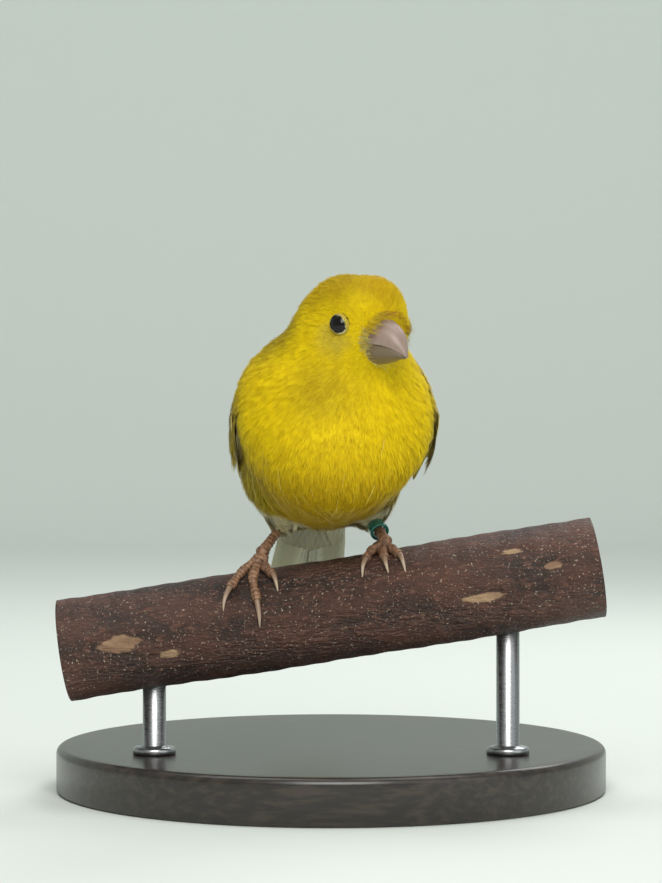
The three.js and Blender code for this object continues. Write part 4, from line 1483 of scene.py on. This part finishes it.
# %% Leg, claw and ring materials
leg_material, leg_tree, leg_shader = new_material("leg_scutes")
leg_spots = noise(leg_tree, object_place(leg_tree), 900, 4, 0.6)
leg_colour = tinted(
    leg_tree, srgb(92, 62, 44), srgb(150, 112, 84), leg_spots, 0.35, 0.62
)
plate = kept_value(leg_tree, "across")
for over, low, high, most in (
    (srgb(196, 164, 132), 0.6, 1, 0.6), (srgb(58, 36, 26), 0.22, 0, 0.75),
):
    leg_colour = tinted(leg_tree, leg_colour, over, plate, low, high, 0, most)
leg_tree.links.new(leg_colour, leg_shader.inputs["Base Color"])
leg_shader.inputs["Roughness"].default_value = 0.55
leg_tree.links.new(bump(leg_tree, leg_spots, 0.4, 0.0002), leg_shader.inputs["Normal"])

claw_material, claw_tree, claw_shader = new_material("claw_horn")
claw_colour = tinted(
    claw_tree, srgb(138, 112, 92), srgb(198, 178, 156),
    kept_value(claw_tree, "along"), 0.2, 1,
)
claw_tree.links.new(claw_colour, claw_shader.inputs["Base Color"])
claw_shader.inputs["Roughness"].default_value = 0.35

ring_material, _, ring_shader = new_material("ring_green")
ring_shader.inputs["Base Color"].default_value = srgb(14, 104, 88)
ring_shader.inputs["Roughness"].default_value = 0.18
ring_shader.inputs["Coat Weight"].default_value = 0.6

# %% Where the toes grip
# toes: places on the perch as (along it, degrees over it), then the claw's
LEGS = {
    "right": {
        "heel": (-9.4, 7.5, 19.6), "foot": (-14.6, -2.2, 12.6),
        "toes": {
            "outer": ([(-17.6, 24), (-20.4, 46)], [(-21.8, 60), (-22.4, 70)]),
            "middle": ([(-15.2, 36), (-15, 66)], [(-15, 82), (-15.3, 94)]),
            "inner": ([(-12.4, 20), (-11, 36)], [(-10.5, 48), (-10.4, 57)]),
            "hind": ([(-14, -16), (-13.6, -38), (-13.2, -62)], [(-13.1, -80), (-13.2, -94)]),
        },
    },
    "left": {
        "heel": (8, 7.8, 20.6), "foot": (11.6, -2.6, 14.9),
        "toes": {
            "outer": ([(14.6, 20), (16.2, 36)], [(16.7, 48), (16.9, 58)]),
            "middle": ([(12.9, 20), (13, 38)], [(13.1, 49), (13.3, 56)]),
            "inner": ([(10.6, 20), (9, 35)], [(8.1, 47), (7.7, 56)]),
            "hind": ([(11.7, -14), (11.9, -38), (12.2, -62)], [(12.3, -80), (12.2, -94)]),
        },
    },
}
TOE_RADIUS, TOE_ROOT_DROP, CLAW_RADIUS = 1.05, 0.6, 0.62
KNUCKLE = (1.5, 1.45, 1.3)
PLATE_STEPS = 5


def perch_place(along, degrees, over):
    """A place on the perch: along it, degrees from its top toward the front, and over it."""
    turn = math.radians(degrees)
    high = math.cos(turn) * (PERCH_RADIUS + over)
    c, s = math.cos(PERCH_TILT), math.sin(PERCH_TILT)
    return np.array((
        along * c - high * s, -math.sin(turn) * (PERCH_RADIUS + over), along * s + high * c,
    ))


def scuted(collector, path, radius, plates, depth, sides=14):
    """A bar with overlapping plates: each swells slowly, then steps in at its edge."""
    steps = plates * PLATE_STEPS
    saw = (np.arange(steps + 1) / PLATE_STEPS) % 1

    def scuted_radius(share, turn):
        return radius(share) * (1 + depth * (saw[round(share * steps)] - 0.4))

    rings = bar_rings(path_through(path, steps), scuted_radius, sides)
    collector.add(rings, saw[:, None], (np.arange(steps + 1) / steps)[:, None], 0.5)


def shank_radius(share):
    """Slender in the middle, thicker toward heel and foot."""
    return 1.12 - 0.14 * math.sin(share * math.pi) + 0.12 * share**6


def toe_radius(share):
    """Thinner toward the claw, with swollen joints."""
    return TOE_RADIUS * (1 - 0.16 * share) * (1 + 0.12 * math.sin(share * 15.7))


def claw_radius(share, turn):
    return CLAW_RADIUS * (1 - share) ** 0.75 + 0.06


def build_leg(name):
    """The shank from heel to foot, the knuckle, its four toes and their claws."""
    leg = LEGS[name]
    heel, foot = np.array(leg["heel"], float), np.array(leg["foot"], float)
    down = unit(foot - heel)
    shank = Collector()
    shank_path = [heel - 2 * down, heel, foot - 2 * down, foot]
    scuted(shank, shank_path, shank_radius, plates=12, depth=0.16, sides=18)
    finish_piece(shank.piece(f"shank_{name}_scutes", leg_material), "leg_skin", f"shank_{name}")
    toes = Collector()
    p, t = np.meshgrid(np.linspace(0.1, 3.04, 12), full_turn(16), indexing="ij")
    knuckle = np.stack((np.sin(p) * np.cos(t), np.sin(p) * np.sin(t), np.cos(p)), -1)
    toes.add(foot + knuckle * KNUCKLE, 0.4, 0.5, 0.5)
    root = foot - np.array((0, 0, TOE_ROOT_DROP))
    for toe, (path, claw) in leg["toes"].items():
        points = [root] + [perch_place(a, d, TOE_RADIUS + 0.12) for a, d in path]
        scuted(toes, points, toe_radius, plates=4 * len(points), depth=0.14)
        end = np.array(points[-1])
        before, last = path_through(points, 30)[-2:]
        way = unit(last - before)
        claw_path = [end - way * 0.5, end + way * 0.5]
        claw_path += [perch_place(*claw[0], 1.35), perch_place(*claw[1], 0.35)]
        curve = path_through(claw_path, 16)
        horn = Collector()
        horn.add(bar_rings(curve, claw_radius, 12), 0.5, np.linspace(0, 1, 17)[:, None], 0.5)
        claw_piece = horn.piece(f"claw_{name}_{toe}_horn", claw_material)
        finish_piece(claw_piece, "claw", f"claw_{name}_{toe}")
    finish_piece(toes.piece(f"foot_{name}_toes", leg_material), "leg_skin", f"foot_{name}")


for name in LEGS:
    build_leg(name)

# %% The closed leg ring
RING_UP, RING_IN, RING_OUT, RING_HIGH = 4.9, 1.45, 2.1, 2.6
RING_SIDES, RING_CORNERS, RING_SQUARENESS = 48, 16, 0.35
ring_foot, ring_heel = (np.array(LEGS["left"][part], float) for part in ("foot", "heel"))
ring_down = unit(ring_foot - ring_heel)
ring_side = unit(np.cross(ring_down, (0, 0, 1)))
ring_across = np.cross(ring_side, ring_down)
turn = full_turn(RING_SIDES)
circle = np.cos(turn)[:, None] * ring_side + np.sin(turn)[:, None] * ring_across
ring_middle_radius, ring_half = (RING_IN + RING_OUT) / 2, (RING_OUT - RING_IN) / 2
section = []
for corner in full_turn(RING_CORNERS):
    c, s = math.cos(corner), math.sin(corner)
    across = np.sign(c) * abs(c) ** RING_SQUARENESS * ring_half
    section.append((
        ring_middle_radius + across, np.sign(s) * abs(s) ** RING_SQUARENESS * RING_HIGH / 2
    ))
ring_middle = ring_foot - ring_down * RING_UP
band = np.concatenate([ring_middle + circle * r + ring_down * h for r, h in section])
band_faces = tube_faces(RING_CORNERS, RING_SIDES)
leg_ring = face_outward(put_piece("leg_ring_band", band, band_faces, ring_material))
finish_piece(leg_ring, "leg_ring", "leg_ring")
print("leg ring is", 2 * RING_OUT, "mm across")

# %% [markdown]
# ## The branch
# The bark is dark and red-brown, rough with tiny pale specks, and peeled to pale wood in
# a few places. The big shape comes from the mesh, long low ridges and dents, and the
# grain from a bump, because it is far too fine to model.

# %% Bark and wood materials


def bark_material():
    """Dark bark with long grain, specks and crust, and pale wood where it has peeled."""
    material, tree, shader = new_material("bark_rough")
    place = object_place(tree)
    grain = grain_place(tree, (0.35, 1, 1), (0, PERCH_TILT, 0))
    broad = noise(tree, grain, 160, 5, 0.6)
    fine = noise(tree, grain, 1500, 4, 0.65)
    specks = noise(tree, place, 2100, 3, 0.6)
    crust = noise(tree, place, 800, 6, 0.75)
    colour = tinted(tree, srgb(34, 19, 14), srgb(82, 50, 38), broad, 0.3, 0.7)
    for over, value, low, high, most in (
        (srgb(138, 92, 76), fine, 0.5, 0.72, 0.5),
        (srgb(206, 186, 164), specks, 0.62, 0.69, 0.75),
        (srgb(128, 100, 80), crust, 0.58, 0.68, 0.6),
    ):
        colour = tinted(tree, colour, over, value, low, high, 0, most)
    torn = noise(tree, grain, 420, 6, 0.7)
    peeled = kept_value(tree, "across")
    bare = math_node(tree, "MULTIPLY_ADD", torn, 1.6, peeled)
    wood = tinted(tree, srgb(150, 116, 88), srgb(186, 154, 118), broad, 0.4, 0.6)
    colour = tinted(tree, colour, wood, bare, 1.3, 1.5, 0, 0.8)
    tree.links.new(colour, shader.inputs["Base Color"])
    tree.links.new(map_range(tree, fine, 0.3, 0.7, 0.36, 0.62), shader.inputs["Roughness"])
    rough = math_node(tree, "ADD", broad, fine)
    tree.links.new(bump(tree, rough, 0.9, 0.0011), shader.inputs["Normal"])
    return material


# turns of the wave for each metre out from the pith, in radians
YEAR_RINGS = 5200.0


def cut_wood_material():
    """Pale sawn wood with rings round the pith."""
    material, tree, shader = new_material("cut_wood")
    place = object_place(tree)
    centre = tree.nodes.new("ShaderNodeMapping")
    centre.vector_type = "TEXTURE"
    centre.inputs["Location"].default_value = PERCH_MIDDLE * MM
    centre.inputs["Rotation"].default_value = (0, -PERCH_TILT, 0)
    tree.links.new(place, centre.inputs["Vector"])
    flat = tree.nodes.new("ShaderNodeVectorMath")
    flat.operation = "MULTIPLY"
    flat.inputs[1].default_value = (0, 1, 1)
    tree.links.new(centre.outputs["Vector"], flat.inputs[0])
    radius = tree.nodes.new("ShaderNodeVectorMath")
    radius.operation = "LENGTH"
    tree.links.new(flat.outputs[0], radius.inputs[0])
    wander = noise(tree, place, 200, 3)
    wobble = math_node(tree, "MULTIPLY", wander, 5.0)
    turns = math_node(
        tree, "MULTIPLY_ADD", radius.outputs["Value"], YEAR_RINGS, wobble
    )
    wave = math_node(tree, "SINE", turns)
    late, early = srgb(150, 112, 76), srgb(196, 160, 116)
    colour = tinted(tree, early, late, wave, -1, 1, 0, 0.7)
    tree.links.new(colour, shader.inputs["Base Color"])
    shader.inputs["Roughness"].default_value = 0.7
    return material


# %% The branch's mesh
# peeled patches: along the branch, degrees over its front, half length, half width
PEELS = [
    (-45, 88, 7, 13), (-35, 108, 4, 8), (33, 100, 6, 8),
    (40, 50, 4, 6), (48, 75, 3, 7), (-8, 210, 9, 14),
]
BRANCH_ROWS, BRANCH_SIDES, PEEL_DEEP, END_ROUND = 240, 120, 0.25, 0.5


def bark_radius(along, turn):
    """Long low ridges and small knots over the branch's own radius."""
    ridges = 0.15 * (np.sin(3 * turn + 0.06 * along) + 0.8 * np.sin(0.13 * along + 2 * turn + 1))
    knots = 0.1 * np.sin(0.9 * along + 3 * turn) * np.sin(5 * turn - 0.3 * along)
    return PERCH_RADIUS + ridges + knots


def build_branch():
    half = PERCH_LENGTH / 2
    inner = np.linspace(-half + 0.05, half - 0.05, BRANCH_ROWS - 2)
    along = np.concatenate(([-half], inner, [half]))
    a, turn = np.meshgrid(along, full_turn(BRANCH_SIDES), indexing="ij")
    radius = bark_radius(a, turn)
    peel = np.zeros_like(radius)
    for middle, degrees, long, wide in PEELS:
        gap = (np.degrees(turn) - (90 + degrees) + 180) % 360 - 180
        away = np.hypot((a - middle) / long, gap / wide)
        peel = np.maximum(peel, np.clip(1.25 - away, 0, 1))
    radius = radius - PEEL_DEEP * np.clip(peel * 3, 0, 1)
    radius[[0, -1]] -= END_ROUND
    x, y, z = a, radius * np.cos(turn), radius * np.sin(turn)
    c, s = math.cos(PERCH_TILT), math.sin(PERCH_TILT)
    rings = np.stack((x * c - z * s, y, x * s + z * c), -1)
    branch = Collector()
    branch.add(rings, peel, 0.5, 0.5)
    piece = branch.piece("branch_bark", bark_material())
    piece.data.materials.append(cut_wood_material())
    for face in piece.data.polygons:
        if len(face.vertices) > 4:
            face.material_index = 1
            face.use_smooth = False
    return piece


finish_piece(build_branch(), "bark", "perch")

# %% [markdown]
# ## The stand
# A museum stand is plain on purpose: brushed steel rods and a dark lacquered wooden
# disc with a softened edge. Both are turned shapes, so a profile is swept round.

# %% The stand's materials
steel_material, steel_tree, steel_shader = new_material("rod_brushed")
steel_shader.inputs["Base Color"].default_value = srgb(176, 178, 180)
steel_shader.inputs["Metallic"].default_value = 1
steel_grain = grain_place(steel_tree, (1, 1, 25))
brushed = noise(steel_tree, steel_grain, 500, 3)
brushed = map_range(steel_tree, brushed, 0.3, 0.7, 0.24, 0.42)
steel_tree.links.new(brushed, steel_shader.inputs["Roughness"])
lacquer_material, lacquer_tree, lacquer_shader = new_material("base_lacquer")
lacquer_grain = grain_place(lacquer_tree, (0.12, 1, 1))
pores = noise(lacquer_tree, lacquer_grain, 700, 5, 0.6)
stained = tinted(
    lacquer_tree, srgb(38, 33, 30), srgb(62, 52, 45), pores, 0.4, 0.7
)
lacquer_tree.links.new(stained, lacquer_shader.inputs["Base Color"])
lacquer_shader.inputs["Roughness"].default_value = 0.32
lacquer_shader.inputs["Coat Weight"].default_value = 0.25
lacquer_shader.inputs["Coat Roughness"].default_value = 0.2
pore_relief = bump(lacquer_tree, pores, 0.15, 0.0002)
lacquer_tree.links.new(pore_relief, lacquer_shader.inputs["Normal"])

# %% Turned rods and base


def turned(name, profile, at, sides, material):
    """A profile of (radius, height) points swept round an upright axis."""
    rings = swept(profile, sides)
    return face_outward(put_piece(name, rings.reshape(-1, 3) + at, closed_rings(rings), material))


BASE_RADIUS, BASE_HIGH, EDGE_ROUND = 61, 10, 1.6
base_profile = [(0.4, 0), (BASE_RADIUS - 1.2, 0), (BASE_RADIUS - 0.5, 0.12), (BASE_RADIUS, 0.6)]
for step in range(9):
    bend = math.radians(90 * step / 8)
    base_profile.append((
        BASE_RADIUS - EDGE_ROUND + EDGE_ROUND * math.cos(bend),
        BASE_HIGH - EDGE_ROUND + EDGE_ROUND * math.sin(bend),
    ))
base_profile += [(BASE_RADIUS - 4, BASE_HIGH), (0.4, BASE_HIGH)]
base_at = node_middle("stand_base")
base_at[2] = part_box("stand_base")[0][2] / MM - PERCH_MIDDLE[2]
base = turned("base_disc", base_profile, base_at, 160, lacquer_material)
finish_piece(base, "base", "stand_base")

# the rods' tops are sunk in the branch
ROD_RADIUS, COLLAR_RADIUS, ROD_SUNK = 2.5, 4.6, 1.2
for label in ("left", "right"):
    rod_low, rod_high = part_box(f"stand_rod_{label}")
    rod_at = node_middle(f"stand_rod_{label}")
    foot_up = rod_low[2] / MM - PERCH_MIDDLE[2]
    top = rod_high[2] / MM - PERCH_MIDDLE[2] + ROD_SUNK
    rod_at[2] = 0
    profile = [
        (COLLAR_RADIUS, foot_up - 0.2), (COLLAR_RADIUS, foot_up + 0.9),
        (COLLAR_RADIUS - 0.4, foot_up + 1.3), (ROD_RADIUS + 0.4, foot_up + 1.45),
        (ROD_RADIUS, foot_up + 1.7), (ROD_RADIUS, top - 0.3), (ROD_RADIUS - 0.3, top),
    ]
    rod = turned(f"rod_{label}_steel", profile, rod_at, 48, steel_material)
    finish_piece(rod, "rod", f"stand_rod_{label}")
print("base is", 2 * BASE_RADIUS, "mm across")

# %% [markdown]
# ## Floor and light
# A pale round floor curves up into a wall on all sides, so no horizon line crosses
# behind the bird from any side. A large lamp high over the camera gives the soft light
# of the photograph. A weaker one fills from the right, one behind edges the bird, and
# one lights the wall.

# %% Floor and studio light
floor_material, _, floor_shader = new_material("studio_floor")
floor_shader.inputs["Base Color"].default_value = srgb(222, 228, 222)
floor_shader.inputs["Roughness"].default_value = 0.9
FLOOR_FLAT, FLOOR_BEND, FLOOR_HIGH, FLOOR_SIDES = 1300, 500, 680, 96
profile = [(1, 0), (FLOOR_FLAT, 0)]
for bend in np.radians(np.linspace(0, 90, 17)[1:]):
    profile.append((
        FLOOR_FLAT + FLOOR_BEND * math.sin(bend), FLOOR_BEND - FLOOR_BEND * math.cos(bend)
    ))
profile.append((FLOOR_FLAT + FLOOR_BEND, FLOOR_HIGH))
bowl = swept(profile, FLOOR_SIDES)
floor_faces = grid_faces(len(profile), FLOOR_SIDES) + [tuple(range(FLOOR_SIDES))]
floor = put_piece("studio_floor", bowl.reshape(-1, 3) - PERCH_MIDDLE, floor_faces, floor_material)
floor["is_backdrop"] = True


def soft_lamp(name, place, target, size, power, tint):
    """A square lamp, millimetres wide, aimed at a place."""
    data = bpy.data.lights.new(name, "AREA")
    data.size = size * MM
    data.energy = power
    data.color = tint
    lamp = bpy.data.objects.new(name, data)
    lamp.location = Vector(place) * MM
    aim = Vector(target) * MM - lamp.location
    lamp.rotation_euler = aim.to_track_quat("-Z", "Y").to_euler()
    bpy.context.collection.objects.link(lamp)


BREAST = (0, -30, 85)
soft_lamp("window", (30, -610, 470), BREAST, size=400, power=3.7, tint=(1, 0.98, 0.94))
soft_lamp("fill", (560, -420, 260), BREAST, size=500, power=0.7, tint=(0.94, 0.97, 1))
soft_lamp("rim", (240, 420, 520), BREAST, size=300, power=1.2, tint=(1, 1, 1))
WALL = (0, 1500, 300)
soft_lamp("wall", (0, 300, 1300), WALL, size=1200, power=11, tint=(0.96, 1, 0.97))
world = bpy.data.worlds.new("studio_air")
world.use_nodes = True
air = world.node_tree.nodes["Background"]
air.inputs["Color"].default_value = (0.86, 0.9, 0.9, 1)
air.inputs["Strength"].default_value = 0.36
bpy.context.scene.world = world

# %% Bounds of the shown pieces, and the end
low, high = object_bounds()
